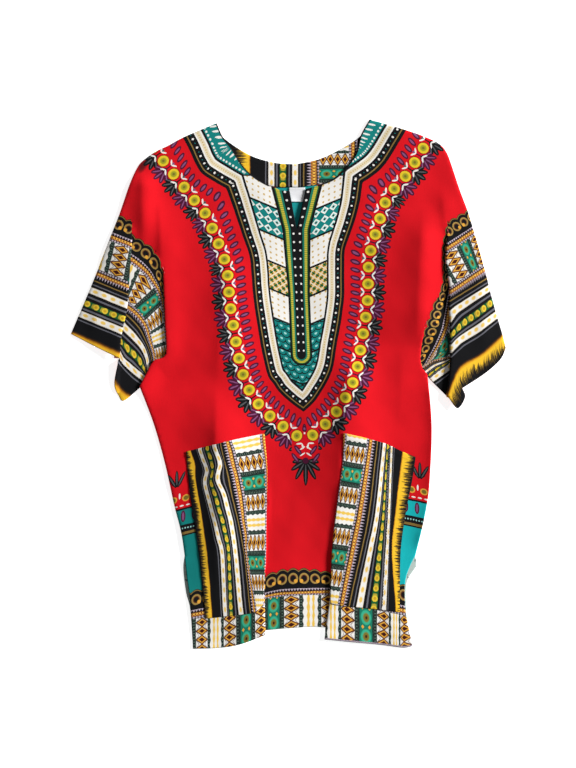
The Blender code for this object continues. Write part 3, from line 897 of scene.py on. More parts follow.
def makeLabel():
    wide, long = label["right"] - label["left"], label["head"] - label["foot"]
    wave, climb = label["wave"], label["climb"]
    (curl, curlReach), (sway, swayLength) = label["curl"], label["sway"]
    bm = bmesh.new()
    bmesh.ops.create_grid(bm, x_segments=int(wide / label["pitch"]), y_segments=int(long / label["pitch"]),
                          size=0.5)
    for vert in bm.verts:
        x = label["left"] + (vert.co.x + 0.5) * wide
        y = label["foot"] + (vert.co.y + 0.5) * long
        swell = wave["height"] * math.sin(x / wave["length"] + wave["phase"])
        form = curl * bell((y - label["foot"]) / curlReach) + swell * bell((y - wave["y"]) / wave["reach"])
        z = label["bottom"] + label["lift"] + form + climb["height"] * eased((y - climb["y"]) / climb["ramp"])
        vert.co = Vector((x + sway * math.sin(y / swayLength), y, z)) * mm
    piece = meshPiece(bm, "blank_label", labelTape)
    addWall(piece, label["thickness"])
    return piece


# A value that runs through a node tree, so that a print is written as plain sums
class Thread:
    def __init__(self, tree, source):
        self.tree = tree
        self.source = source

    def sum(self, operation, *others):
        node = self.tree.nodes.new("ShaderNodeMath")
        node.operation = operation
        for socket, value in zip(node.inputs, (self,) + others):
            if isinstance(value, Thread):
                self.tree.links.new(value.source, socket)
            else:
                socket.default_value = float(value)
        return Thread(self.tree, node.outputs[0])

    __add__ = __radd__ = partialmethod(sum, "ADD")
    __sub__ = partialmethod(sum, "SUBTRACT")
    __mul__ = __rmul__ = partialmethod(sum, "MULTIPLY")
    __truediv__ = partialmethod(sum, "DIVIDE")
    __neg__ = partialmethod(sum, "MULTIPLY", -1.0)
    below = partialmethod(sum, "LESS_THAN")
    above = partialmethod(sum, "GREATER_THAN")
    size = partialmethod(sum, "ABSOLUTE")
    least = partialmethod(sum, "MINIMUM")
    most = partialmethod(sum, "MAXIMUM")
    part = partialmethod(sum, "FRACT")
    floor = partialmethod(sum, "FLOOR")
    sine = partialmethod(sum, "SINE")
    power = partialmethod(sum, "POWER")
    root = partialmethod(sum, "SQRT")
    angle = partialmethod(sum, "ARCTAN2")

    def __rsub__(self, other):
        return (-self) + other

    def between(self, low, high):
        return (self - (low + high) / 2).size().below((high - low) / 2)

    # 1 below the limit, fading to 0 above it
    def soft(self, limit, blur):
        return ((self - limit) * (-1.0 / blur) + 0.5).most(0.0).least(1.0)

    # distance from the nearest of a run of places a pitch apart
    def repeat(self, pitch):
        return ((self / pitch + 0.5).part() - 0.5) * pitch

    def place(self, pitch):
        return (self / pitch + 0.5).floor()

    def odd(self):
        return (self * 0.5).part().above(0.25)


def distance(a, b):
    return (a * a + b * b).root()


# (a / width)^2 + (b / height)^2
def oval(a, b, width, height):
    return (a / width).power(2) + (b / height).power(2)


# The same, turned
def tilted(a, b, cos, sin, width, height):
    return oval(a * cos + b * sin, b * cos - a * sin, width, height)


# Place across the nearest cell of a pattern, and along it
def cellOf(across, along, form):
    pairs = zip((across, along), form["at"], form["pitch"])
    return [(value - at).repeat(pitch) for value, at, pitch in pairs]


# Reach and turn from the foot of a fan, and the place across its nearest petal
def fanOf(u, v, step):
    reach, turn = distance(u, v), u.angle(v)
    return reach, turn, turn.repeat(step) * reach


# sRGB steps of 0 to 255 as the linear colour that a shader wants
def ink(*steps):
    return (*(((c / 255 + 0.055) / 1.055) ** 2.4 if c > 10 else c / 3294.6 for c in steps), 1.0)


inks = {name: ink(*steps) for name, steps in {
    "red": (206, 8, 23), "deepRed": (140, 8, 18), "black": (12, 12, 15), "white": (229, 226, 220),
    "cream": (216, 204, 176), "gold": (220, 160, 58), "yellow": (236, 186, 44), "dullGold": (128, 102, 50),
    "ringGold": (158, 128, 66), "paleGold": (196, 166, 104), "orange": (192, 118, 50),
    "brown": (92, 46, 26), "darkBrown": (60, 14, 12), "plum": (70, 12, 44), "lilac": (128, 74, 116),
    # the lighter teal on the next line is the same teal painted lighter, a painted lit copy for the right side
    # strip
    "teal": (12, 122, 118), "paintedLitTeal": (16, 170, 174), "paleTeal": (150, 206, 200),
    "green": (24, 88, 44), "leafYellow": (222, 190, 54), "leafHeart": (180, 134, 24), "grey": (96, 96, 104),
    "darkGrey": (78, 80, 82), "bar": (26, 38, 34), "barDot": (84, 104, 92), "olive": (116, 104, 36),
    "lilacGrey": (182, 166, 178), "tealGreen": (20, 112, 90), "aqua": (50, 164, 130),
    "leafGreen": (150, 152, 34), "bristle": (112, 88, 34), "bandGold": (206, 136, 26),
    "straw": (228, 188, 82), "braidGold": (240, 182, 76), "rust": (84, 48, 12),
    "columnYellow": (190, 178, 58), "roundelYellow": (222, 190, 40),
}.items()}


# The colour of a cloth, painted layer on layer
class Print:
    def __init__(self, name, ground):
        self.material = bpy.data.materials.new(name)
        self.material.use_nodes = True
        self.tree = self.material.node_tree
        self.shader = self.tree.nodes["Principled BSDF"]
        self.colour = ground

    def attribute(self, name):
        node = self.tree.nodes.new("ShaderNodeAttribute")
        node.attribute_name = name
        return node.outputs

    def split(self, socket):
        node = self.tree.nodes.new("ShaderNodeSeparateXYZ")
        self.tree.links.new(socket, node.inputs[0])
        return [Thread(self.tree, output) for output in node.outputs]

    def threads(self, name):
        return self.split(self.attribute(name)["Vector"])

    def thread(self, name):
        return Thread(self.tree, self.attribute(name)["Fac"])

    # object coordinates in millimetres
    def places(self):
        x, y, _ = self.split(self.tree.nodes.new("ShaderNodeTexCoord").outputs["Object"])
        return x * 1000, y * 1000

    # noise squeezed by a share each way
    def noise(self, x, y, fineX, fineY, detail):
        joined = self.tree.nodes.new("ShaderNodeCombineXYZ")
        for socket, value in zip(joined.inputs, (x * fineX, y * fineY)):
            self.tree.links.new(value.source, socket)
        node = self.tree.nodes.new("ShaderNodeTexNoise")
        dial(node, {"Scale": 1.0, "Detail": detail})
        self.tree.links.new(joined.outputs[0], node.inputs["Vector"])
        return Thread(self.tree, node.outputs["Fac"])

    def feed(self, value, socket):
        if isinstance(value, str):
            value = inks[value]
        if isinstance(value, tuple):
            socket.default_value = value
        else:
            self.tree.links.new(value, socket)

    def mix(self, share, under, over):
        node = self.tree.nodes.new("ShaderNodeMix")
        node.data_type = "RGBA"
        self.tree.links.new(share.source, node.inputs[0])
        self.feed(under, node.inputs[6])
        self.feed(over, node.inputs[7])
        return node.outputs[2]

    # each layer is a share and the colour that it shows
    def over(self, under, *layers):
        for share, colour in layers:
            under = self.mix(share, under, colour)
        return under

    def lay(self, share, colour):
        self.colour = self.mix(share, self.colour, colour)

    # colours in hard stripes: (start, ink) pairs over a length
    def stripes(self, value, stops, length):
        node = self.tree.nodes.new("ShaderNodeValToRGB")
        node.color_ramp.interpolation = "CONSTANT"
        ramp = node.color_ramp.elements
        while len(ramp) < len(stops):
            ramp.new(0.5)
        for element, (start, _) in zip(ramp, stops):
            element.position = start / length
        for element, (_, colour) in zip(ramp, stops):
            element.color = inks[colour]
        self.tree.links.new((value / length).source, node.inputs[0])
        return node.outputs[0]


def dial(node, values):
    for name, value in values.items():
        node.inputs[name].default_value = value


borderStripes = [(0, "black"), (29.8, "brown"), (30.4, "orange"), (35.0, "brown"), (35.4, "bar"),
                 (39, "white"), (82, "bar"), (86, "brown"), (86.4, "orange"), (91.0, "brown"), (91.6, "black"),
                 (98.2, "dullGold"), (100.0, "black"), (103.4, "grey"), (105.4, "black"), (109, "white"),
                 (118, "black"), (122.0, "grey"), (124.2, "black"), (128.4, "green"), (137.6, "black"),
                 (140.2, "grey"), (142.4, "black"), (145, "white"), (154, "black"), (156.8, "grey"),
                 (158.8, "black")]
borderLength = 210.0
beads = {"pitch": 4.2, "size": (1.45, 0.5)}
# each ring of an ornament: its reach, its blur and its ink
chain = {"pitch": 10.75, "half": 11.2, "corner": (0.92, 1.06), "cornerFrom": 1.1,
         "rings": ((1.15, 0.12, "brown"), (0.82, 0.10, "gold"), (0.52, 0.16, "darkBrown"))}
dashed = {"out": 3.8, "slope": 0.24, "half": 2.5, "blur": 1.3}
wheels = {"squash": 0.92, "rings": ((7.6, 1.6, "aqua"), (4.7, 1.6, "olive"), (1.7, 1.0, "darkBrown")),
          "knot": 2.4, "knotOut": 5.2, "knotSlope": 0.9}
bar = {"half": 2.9, "blur": 0.6, "wave": 10.75, "swing": 0.8, "tealHalf": 4.5, "dots": 3.6, "dotOut": 0.6,
       "dotSize": 0.7, "stitch": (1.9, 2.5), "stitchHalf": 2.2, "stitchTint": 0.6}


def discs(value, rings):
    return [(value.soft(reach, blur), colour) for reach, blur, colour in rings]


# One block of the border: a chain of diamonds, dashes on white, or roundels on teal
def paintBlocks(cloth, w, run):
    at = run / borderPrint["blockPitch"]
    inBlocks = w.between(borderPrint["blockStart"], borderPrint["blockEnd"])
    kind = at.floor() - (at.floor() / 4).floor() * 4
    v = (at.part() - 0.5) * borderPrint["blockPitch"]
    u = w - borderPrint["blockStart"]
    middle = v.size()
    halfPitch = chain["pitch"] / 2
    # diamonds, with a chevron of brown across each white corner
    wave = (u - halfPitch).repeat(chain["pitch"]).size()
    gem = wave / halfPitch + middle / chain["half"]
    corner = u.repeat(chain["pitch"]).size() / halfPitch
    corner = corner + (middle - chain["half"]).size() / (chain["half"] / 2)
    gems = cloth.over("white", *discs(gem, chain["rings"]),
                      (corner.between(*chain["corner"]) * gem.above(chain["cornerFrom"]), "brown"))
    # two wavy bands on white
    strand = (middle - dashed["out"]).size() + wave * dashed["slope"]
    dashes = cloth.mix(strand.soft(dashed["half"], dashed["blur"]), "white", "straw")
    # roundels on teal
    turn = (u - chain["pitch"]).repeat(chain["pitch"] * 2)
    wheel = distance(turn * wheels["squash"], v)
    knot = chain["pitch"] - turn.size()
    inKnot = (middle - wheels["knotOut"]).size().below((wheels["knot"] - knot) * wheels["knotSlope"])
    roundels = cloth.over("tealGreen", *discs(wheel, wheels["rings"]),
                          (knot.below(wheels["knot"]) * inKnot, "gold"))
    # dark bars between blocks
    beside, last = kind.between(0.5, 1.5), kind.above(2.5)
    swing = (w * (2 * math.pi / bar["wave"])).sine() * beside * bar["swing"] + bar["half"]
    swing = swing + last * (bar["tealHalf"] - bar["half"])
    gap = borderPrint["blockPitch"] / 2 - middle
    dots = distance(gap - bar["dotOut"], w.repeat(bar["dots"])).below(bar["dotSize"])
    stitches = gap.between(*bar["stitch"]) * w.repeat(bar["dots"] * 2).size().below(bar["stitchHalf"])
    fill = cloth.over(gems, (beside, dashes), (last, roundels), ((gap - swing).soft(0.0, bar["blur"]), "bar"),
                      (dots, "barDot"), (stitches * bar["stitchTint"], "barDot"))
    cloth.lay(inBlocks, fill)


braid = {"pitch": 4.4, "bead": (1.8, 2.1), "blur": 0.3, "lean": 1.1, "half": 2.6, "cut": 0.41}
spots = {"size": (4.2, 2.5), "reach": (0.9, 1.0), "tint": 0.95, "edge": (3.9, 4.6), "edgeTint": 0.45}
# each layer of a leaf: shift along the stripe, half length and width, reach and blur, tint, ink
leaves = {"phase": 4.0, "edge": (4.4, 5.1), "layers": (
    (3.4, (5.0, 3.4), (0.9, 0.8), 0.55, "leafYellow"), (0.0, (4.3, 4.1), (0.95, 0.3), 1.0, "leafYellow"),
    (0.3, (2.6, 2.2), (0.9, 0.9), 0.75, "leafHeart"))}
rings = {"centre": 13.6, "scallop": 3.4, "lining": (0.8, 2.2), "radius": 5.9, "line": (1.15, 0.5),
         "inside": 1.4, "shade": (0.9, 0.8), "blob": (3.8, 3.3), "blobSize": (2.5, 0.7)}
teeth = [(26.6, 3.2, 1.0), (91.4, 4.4, 1.4)]    # foot, length and slope of each row

# how late an ink of the yellow band starts, and its blur; how far bristles swing, where, their blur
yellowBand = {"start": 178.4, "end": 203.5, "fray": (0.75, 0.04, 3.0), "drift": (0.06, 0.05, 2.0),
              "sway": 3.0,
              "inks": [(-3.4, 4.6, "rust"), (-0.4, 4.6, "bandGold"), (3.0, 6.0, "yellow")],
              "bristles": [(38.0, 189.0, 2.4, "bristle"), (44.0, 194.5, 3.4, "black")]}


def paintBorder(cloth, w, run, ring, soft):
    turn = (ring * (math.pi / borderPrint["ringPitch"])).sine().size()
    edge = w - (1.0 - turn) * rings["scallop"]
    under = cloth.colour
    cloth.colour = cloth.stripes(w, borderStripes, borderLength)
    cloth.lay(edge.between(*rings["lining"]), "dullGold")
    # rings in pairs, with a drop of yellow between the two of a pair
    fromPair = ring - borderPrint["ringPitch"] / 2
    cell = fromPair.repeat(borderPrint["ringPitch"])
    side = fromPair.place(borderPrint["ringPitch"]).odd() * -2.0 + 1.0
    high = w - rings["centre"]
    wheel = distance(cell, high)
    cloth.lay((wheel - rings["radius"] + rings["inside"]).size().soft(*rings["shade"]), "brown")
    cloth.lay((wheel - rings["radius"]).size().soft(*rings["line"]), "ringGold")
    across, down = rings["blob"]
    drop = distance(cell - side * across, high - down)
    cloth.lay(drop.soft(*rings["blobSize"]), "gold")
    # teeth, braid and beads
    step = ring.repeat(beads["pitch"]).size() / (beads["pitch"] / 2)
    for foot, length, slope in teeth:
        cloth.lay(((w - foot) / length + step * slope).below(1.0) * w.above(foot), "lilacGrey")
    for middle in borderPrint["beads"]:
        cloth.lay(distance(ring.repeat(beads["pitch"]), w - middle).soft(*beads["size"]), "lilacGrey")
    for middle in borderPrint["braids"]:
        strand = w - middle
        bead = oval(ring.repeat(braid["pitch"]), strand, *braid["bead"])
        cloth.lay(bead.soft(1.0, braid["blur"]), "braidGold")
        for lean in (-braid["lean"], braid["lean"]):
            twist = ((ring + strand * lean) / braid["pitch"] + 0.5).part()
            cut = (twist - 0.5).size().above(braid["cut"])
            cloth.lay(strand.size().below(braid["half"]) * cut, "darkBrown")
    paintBlocks(cloth, w, run)
    # spots on the two white stripes, half moons on the green one
    for middle in borderPrint["whites"]:
        strand = w - middle
        spot = oval(ring.repeat(borderPrint["tickPitch"]), strand, *spots["size"])
        cloth.lay(spot.soft(*spots["reach"]) * spots["tint"], "straw")
        cloth.lay(strand.size().between(*spots["edge"]) * spots["edgeTint"], "paleGold")
    moon = (ring + leaves["phase"]).repeat(borderPrint["tickPitch"])
    leaf = w - borderPrint["leaves"]
    for shift, size, reach, tint, colour in leaves["layers"]:
        cloth.lay(oval(moon + shift, leaf, *size).soft(*reach) * tint, colour)
    cloth.lay(leaf.size().between(*leaves["edge"]), "black")
    # yellow band that starts softly and ends in bristles
    fray = cloth.noise(run, w, *yellowBand["fray"])
    sway = cloth.noise(run, w, *yellowBand["drift"]) - 0.5
    start = w - yellowBand["start"] + sway * yellowBand["sway"]
    for late, blur, colour in yellowBand["inks"]:
        cloth.lay((start - late * soft).soft(0.0, -blur * soft), colour)
    for swing, at, blur, colour in yellowBand["bristles"]:
        cloth.lay((w - (fray - 0.5) * swing - at).soft(0.0, -blur), colour)
    cloth.lay(w.above(yellowBand["end"]), "black")
    border = cloth.colour
    cloth.colour = under
    cloth.lay(edge.above(0.0), border)


seeds = {"pitch": 10.9, "phase": 10.35, "out": 15.8, "lean": 0.22,
         "layers": ((3.5, 7.4, 0.3, "plum"), (1.5, 5.0, 0.5, "lilac"))}
roundel = {"pitch": 24.0, "phase": 10.0, "squash": 0.92, "radius": 7.5, "rim": 1.1, "heart": (0.58, 1.6),
           "eye": (1.8, 1.0), "petal": {"at": (9.0, 7.8), "cos": 0.64, "sin": 0.77, "size": (1.25, 4.1)}}
fans = {"phase": 22.0, "out": 5.4, "step": 0.50, "spread": 1.2, "length": 9.4, "shorten": 1.5,
        "middle": 12.0, "petal": 3.6, "vein": 0.9, "veinShort": 2.0, "heart": (2.0, 4.4),
        "stem": (-9.6, 7.4), "foot": (9.1, 1.7),
        "gap": {"x": 24.0, "half": 19.0, "head": -60.0}}


# Ring of seeds, ring of roundels and ring of fans round the yoke
def paintRings(cloth, x, y, e, out, along):
    v = e - seeds["out"]
    u = (along + seeds["phase"]).repeat(seeds["pitch"]) + v * seeds["lean"]
    for width, height, blur, colour in seeds["layers"]:
        cloth.lay(oval(u, v, width, height).soft(1.0, blur), colour)
    # fans first, so that the roundels lie over their stems
    u = (along + fans["phase"]).repeat(roundel["pitch"])
    dark = (along + fans["phase"]).place(roundel["pitch"]).odd()
    body, core = cloth.mix(dark, "plum", "black"), cloth.mix(dark, "lilac", "darkGrey")
    v = out - fans["out"]
    reach, turn, petal = fanOf(u, v, fans["step"])
    length = turn * turn * -fans["shorten"] + fans["length"]
    gap = fans["gap"]
    clear = (x - gap["x"]).size().above(gap["half"]).most(y.above(gap["head"]))
    inFan = turn.size().below(fans["spread"]) * clear
    ahead = reach - fans["middle"]
    cloth.lay(oval(petal, ahead, fans["petal"], length).below(1.0) * inFan, body)
    cloth.lay(oval(petal, ahead, fans["vein"], length - fans["veinShort"]).below(1.0) * inFan, core)
    (heartAt, heart), (footAt, foot) = fans["heart"], fans["foot"]
    cloth.lay(distance(u, v - heartAt).below(heart) * clear, body)
    cloth.lay(u.size().below(fans["vein"]) * out.between(*fans["stem"]) * clear, body)
    cloth.lay(distance(u, out + footAt).below(foot) * clear, core)
    # roundels with white petals
    u = (along + roundel["phase"]).repeat(roundel["pitch"])
    wheel = distance(u, out * roundel["squash"])
    cloth.lay(wheel.below(roundel["radius"] + roundel["rim"]), "deepRed")
    cloth.lay(wheel.below(roundel["radius"]), "roundelYellow")
    share, blur = roundel["heart"]
    cloth.lay(wheel.soft(roundel["radius"] * share, blur), "leafGreen")
    cloth.lay(wheel.soft(*roundel["eye"]), "olive")
    petal = roundel["petal"]
    p, q = u.size() - petal["at"][0], out.size() - petal["at"][1]
    cloth.lay(tilted(p, q, petal["cos"], petal["sin"], *petal["size"]).below(1.0), "white")


# stripes of the yoke's frame, which widens towards the shoulders
yokeStripes = [(0, "black"), (3.9, "dullGold"), (5.5, "black"), (13.4, "white"), (15.2, "cream"),
               (20.6, "white"), (22.4, "black"), (25.2, "white")]
yokeFrame = {"from": 200.0, "spread": 0.0018, "most": 0.22, "width": 25.2,
             "dots": {"pitch": 13.0, "in": 9.3, "large": 1.45, "small": 0.7},
             "beads": {"pitch": 3.6, "in": 17.9, "size": (1.0, 0.6)}}
slit = {"foot": 222.0, "x": 11.8, "tilt": -0.0397, "lean": 0.21}
column = {"foot": 42.0, "half": 19.0, "evenAt": 195.0, "spread": 0.0028, "girth": (0.82, 1.25),
          "dots": {"out": 4.3, "pitch": 12.0, "radius": 1.5},
          "ticks": {"out": (10.4, 14.4), "pitch": 3.0, "half": 0.45, "tint": 0.7}}
yokeArm = {"foot": 299.0, "line": 301.0, "neckline": 284.0, "sewn": (1.9, 0.8), "ticks": 38.0,
           "tickPitch": 7.8, "tickLean": 0.4, "tickSize": (1.5, 4.4), "dashes": 27.6, "dashPitch": 5.6,
           "dashSize": (1.7, 1.3)}
stripeLength = 30.0
columnStripes = [(0, "black"), (7.8, "tealGreen"), (10.4, "columnYellow"), (14.4, "green"), (15.8, "black")]
rows = {"pitch": 40.0, "start": 281.0, "slope": 0.42, "line": 2.8}
rowSpots = {"at": (22.0, 20.0), "pitch": (8.2, 8.0), "radius": 1.5}
rowGems = {"at": (28.0, 21.0), "pitch": (12.5, 12.6), "half": (6.0, 5.6),
           "rings": ((1.0, "white"), (0.62, "paleTeal"), (0.34, "black"))}
trellis = {"pitch": 11.0, "line": 1.5, "heart": 4.3}
scales = {"row": 9.0, "pitch": 11.0, "foot": 1.0, "edge": (5.2, 6.6), "heart": 1.9}


def paintYoke(cloth, x, y, e, a, neckGap):
    frameTop = (y - yokeFrame["from"]) * yokeFrame["spread"]
    depth = (-e) / (frameTop.most(0.0).least(yokeFrame["most"]) + 1.0)
    centre = (y - slit["foot"]).least(0.0) * slit["tilt"] + slit["x"]
    off = (x - centre).size()
    t = (y * -1.0) + rows["start"] + off * rows["slope"]
    row = (t / rows["pitch"]).floor()
    within = (t / rows["pitch"]).part() * rows["pitch"]
    # white rows with gold spots
    spot = distance(*cellOf(off, within, rowSpots))
    spotted = cloth.mix(spot.below(rowSpots["radius"]), "white", "paleGold")
    # row of white diamonds on teal
    across, along = cellOf(off, within, rowGems)
    gem = across.size() / rowGems["half"][0] + along.size() / rowGems["half"][1]
    gems = cloth.over("teal", *((gem.below(reach), colour) for reach, colour in rowGems["rings"]))
    # lattice of green on gold
    one, two = (value.repeat(trellis["pitch"]).size() for value in (off + within, off - within))
    lattice = cloth.over("gold", (one.least(two).below(trellis["line"]), "green"),
                         (one.most(two).above(trellis["heart"]), "cream"))
    # scalloped tip
    level = t / scales["row"]
    shift = level.floor().odd() * (scales["pitch"] / 2)
    scale = distance((x - centre + shift).repeat(scales["pitch"]),
                     level.part() * scales["row"] - scales["foot"])
    tip = cloth.over("teal", (scale.between(*scales["edge"]), "black"),
                     (scale.below(scales["heart"]), "paleTeal"))
    # arms along the neckline
    arm = y.above(yokeArm["foot"])
    fromTicks = depth - yokeArm["ticks"]
    leaning = a.repeat(yokeArm["tickPitch"]) + fromTicks * yokeArm["tickLean"]
    tick = oval(leaning, fromTicks, *yokeArm["tickSize"])
    dash = oval(a.repeat(yokeArm["dashPitch"]), depth - yokeArm["dashes"], *yokeArm["dashSize"])
    arms = cloth.over("teal", (tick.below(1.0), "white"), (dash.below(1.0), "white"),
                      (y.below(yokeArm["line"]), "black"))
    # column of stripes down from the slit
    beyond = (column["foot"] - y).most(0.0)
    thin, thick = column["girth"]
    girth = ((y - column["evenAt"]) * column["spread"] + 1.0).least(thick).most(thin)
    s = (distance(off, beyond) - ((y - slit["foot"]).most(0.0) * slit["lean"])) / girth
    dots, ticks = column["dots"], column["ticks"]
    dot = distance(s - dots["out"], y.repeat(dots["pitch"])).below(dots["radius"])
    tick = s.between(*ticks["out"]) * y.repeat(ticks["pitch"]).size().below(ticks["half"]) * ticks["tint"]
    stem = cloth.over(cloth.stripes(s, columnStripes, stripeLength), (dot, "white"), (tick, "green"))
    # frame round it all
    dots, pearls = yokeFrame["dots"], yokeFrame["beads"]
    large = distance(a.repeat(dots["pitch"]), depth - dots["in"])
    small = distance((a + dots["pitch"] / 2).repeat(dots["pitch"]), depth - dots["in"])
    pearl = distance(a.repeat(pearls["pitch"]), depth - pearls["in"])
    frame = cloth.over(cloth.stripes(depth, yokeStripes, stripeLength),
                       (large.below(dots["large"]), "white"), (small.below(dots["small"]), "teal"),
                       (pearl.soft(*pearls["size"]), "paleGold"))
    fill = cloth.over(spotted, (row.between(0.5, 1.5), gems), (row.between(2.5, 3.5), lattice),
                      (row.above(4.5), tip), (within.below(rows["line"]), "black"), (arm, arms),
                      (s.below(column["half"]) * arm.below(0.5), stem),
                      (depth.below(yokeFrame["width"]), frame))
    cloth.lay(depth.above(0.0), fill)
    # the sewn edge of the neckline shows as a dark line
    cloth.lay(neckGap.soft(*yokeArm["sewn"]) * y.above(yokeArm["neckline"]), "black")


tail = {"x": 25.0, "top": 110.0, "step": 0.5, "length": 16.5, "shorten": 5.6, "least": 6.0, "foot": 3.0,
        "spread": 1.9, "reach": 44.0, "petal": 3.6, "vein": 1.0, "veinShort": 2.2, "heart": 4.4,
        "leaves": [(-4.0, 15.0), (-15.0, 11.0)], "cos": 0.8, "sin": 0.6,
        "layers": ((3.0, 8.4, 0.3, "plum"), (1.1, 6.0, 0.5, "lilac")),
        "dashes": (-18.0, -9.0), "dashOut": 4.5, "dashSlope": -0.6, "dashSize": (3.8, 1.2)}


# Palmette under the point of the yoke
def paintTail(cloth, x, y):
    u = x - tail["x"]
    v = y * -1.0 - tail["top"]
    reach, turn, petal = fanOf(u, v, tail["step"])
    length = (turn.size() * -tail["shorten"] + tail["length"]).most(tail["least"])
    along = reach - length - tail["foot"]
    near = turn.size().below(tail["spread"]) * reach.below(tail["reach"])
    cloth.lay(oval(petal, along, tail["petal"], length).below(1.0) * near, "black")
    cloth.lay(oval(petal, along, tail["vein"], length - tail["veinShort"]).below(1.0) * near, "darkGrey")
    cloth.lay(reach.below(tail["heart"]), "plum")
    # leaves and white dashes above it
    side = u.size()
    for down, out in tail["leaves"]:
        p, q = side - out, v - down
        for width, height, blur, colour in tail["layers"]:
            cloth.lay(tilted(p, q, tail["cos"], tail["sin"], width, height).soft(1.0, blur), colour)
    p = side - tail["dashOut"]
    for down in tail["dashes"]:
        cloth.lay(oval(p, v - down + p * tail["dashSlope"], *tail["dashSize"]).below(1.0), "white")


# x of its inner ends, its height above the hem's border, and the feet of its two fans
sideStrip = {"inside": (-108.0, 144.0), "head": 178.0, "drop": 4.6, "fans": (-160.0, 189.0), "fanFoot": 146.0,
             "fanStep": 0.5, "fanSpread": 0.8,
             "petals": ((14.0, 2.6, 11.5, "black"), (14.5, 1.0, 9.5, "darkGrey")),
             "teal": 116.0, "beside": (115.0, 117.5), "dark": (84.0, 94.0), "gold": (80.5, 84.0),
             "line": (78.5, 80.5), "seeds": 106.0, "dots": 89.0, "dashes": 121.0, "pods": 131.0,
             "pips": 135.0}


# Strip of other motifs beside the pockets
def paintStrips(cloth, x, y, h):
    h = h - x.above(0.0) * sideStrip["drop"]
    left, right = sideStrip["inside"]
    zone = x.below(left).most(x.above(right)) * h.below(sideStrip["head"])
    # painted light and shade: the strip left of the middle gets plain teal, and the right one a lighter teal
    # painted as if lit
    teal = cloth.mix(x.above(0.0), "teal", "paintedLitTeal")
    cell = (x + 7.0).repeat(16.0)
    seed = h - sideStrip["seeds"]
    pod = oval((x + 3.0).repeat(18.0), h - sideStrip["pods"], 5.4, 4.6)
    # fan
    left, right = sideStrip["fans"]
    u = (x - left) * x.below(0.0) + (x - right) * x.above(0.0)
    reach, turn, petal = fanOf(u, h - sideStrip["fanFoot"], sideStrip["fanStep"])
    inFan = turn.size().below(sideStrip["fanSpread"])
    layers = [
        (h.below(sideStrip["teal"]), teal),
        (oval(cell, seed, 3.4, 8.0).below(1.0), "plum"), (oval(cell, seed, 1.7, 6.0).below(1.0), "lilac"),
        (h.between(*sideStrip["dark"]), "black"),
        (distance(x.repeat(4.0), h - sideStrip["dots"]).below(1.1), "paleTeal"),
        (h.between(*sideStrip["gold"]), "dullGold"), (h.between(*sideStrip["line"]), "black"),
        (h.between(*sideStrip["beside"]), "black"),
        (oval(x.repeat(9.0), h - sideStrip["dashes"], 3.0, 1.1).below(1.0), "white"),
        (pod.below(1.0), "gold"), (pod.below(0.4), "olive"),
        (oval((x + 12.0).repeat(18.0), h - sideStrip["pips"], 1.3, 4.2).below(1.0), "white")]
    layers += [(oval(petal, reach - out, width, height).below(1.0) * inFan, colour)
               for out, width, height, colour in sideStrip["petals"]]
    cloth.lay(zone, cloth.over("red", *layers))


fanEnd = {"x": 209.0, "y": 313.0, "cos": 0.85, "sin": 0.5, "size": (5.0, 11.0), "reach": (0.8, 1.2),
          "tint": 0.8}
overlock = {"wide": (2.6, 0.6), "below": -350.0, "slope": 1.2, "pitch": 2.4, "share": 0.35}


# The end of another fan that runs over the left shoulder, and the overlocked edge of the right hem
def paintEdges(cloth, x, y, hemGap):
    p, q = x + fanEnd["x"], y - fanEnd["y"]
    cos, sin = fanEnd["cos"], fanEnd["sin"]
    smudge = oval(p * cos - q * sin, q * cos + p * sin, *fanEnd["size"])
    cloth.lay(smudge.soft(*fanEnd["reach"]) * fanEnd["tint"], "black")
    edge = hemGap.soft(*overlock["wide"]) * y.below(overlock["below"])
    cloth.lay(edge, "lilacGrey")
    thread = ((x + hemGap * overlock["slope"]) / overlock["pitch"]).part()
    cloth.lay(edge * thread.below(overlock["share"]), "bar")


weave = {"pitch": 0.85, "depth": 0.05, "strength": 0.35, "tone": 0.05, "mottle": (0.045, 0.045, 3.0),
         "mottleTone": 0.10, "slub": (0.9, 0.06, 2.0), "slubTone": 0.06, "slubDepth": 0.25,
         "hemLine": (7.6, 8.6), "hemDepth": -0.35, "sheen": 0.03, "sheenRoughness": 0.5, "specular": 0.12}
drift = {"grain": (0.05, 0.05, 2.0), "reach": 1.6, "yoke": 0.5, "border": 0.6}
softStart = {"front": 0.6, "cut": 0.3}      # how softly the yellow band starts, on the garment and on strips


# Weave, slight mottling, sheen and the relief of the turned hems
def finishCloth(cloth, x, y, roughness=0.85, hemGap=None):
    warp = (x * (2 * math.pi / weave["pitch"])).sine()
    weft = (y * (2 * math.pi / weave["pitch"])).sine()
    checks = warp * weft
    mottle = cloth.noise(x, y, *weave["mottle"]) - 0.5
    slub = cloth.noise(x, y, *weave["slub"]) - 0.5
    tone = checks * weave["tone"] + mottle * weave["mottleTone"] + slub * weave["slubTone"]
    light = cloth.tree.nodes.new("ShaderNodeHueSaturation")
    cloth.feed(cloth.colour, light.inputs["Color"])
    cloth.tree.links.new((tone + 1.0).source, light.inputs["Value"])
    cloth.tree.links.new(light.outputs[0], cloth.shader.inputs["Base Color"])
    relief = checks * weave["depth"] + slub * weave["slubDepth"]
    if hemGap is not None:
        relief = relief + hemGap.between(*weave["hemLine"]) * weave["hemDepth"]
    bump = cloth.tree.nodes.new("ShaderNodeBump")
    dial(bump, {"Strength": weave["strength"], "Distance": mm})
    cloth.tree.links.new(relief.source, bump.inputs["Height"])
    cloth.tree.links.new(bump.outputs[0], cloth.shader.inputs["Normal"])
    dial(cloth.shader, {"Roughness": roughness, "Sheen Weight": weave["sheen"],
                        "Sheen Roughness": weave["sheenRoughness"], "Specular IOR Level": weave["specular"]})
    return cloth.material


# How far the print strays from its place, as ink does on cloth
def wander(cloth, x, y):
    return (cloth.noise(x, y, *drift["grain"]) - 0.5) * drift["reach"]


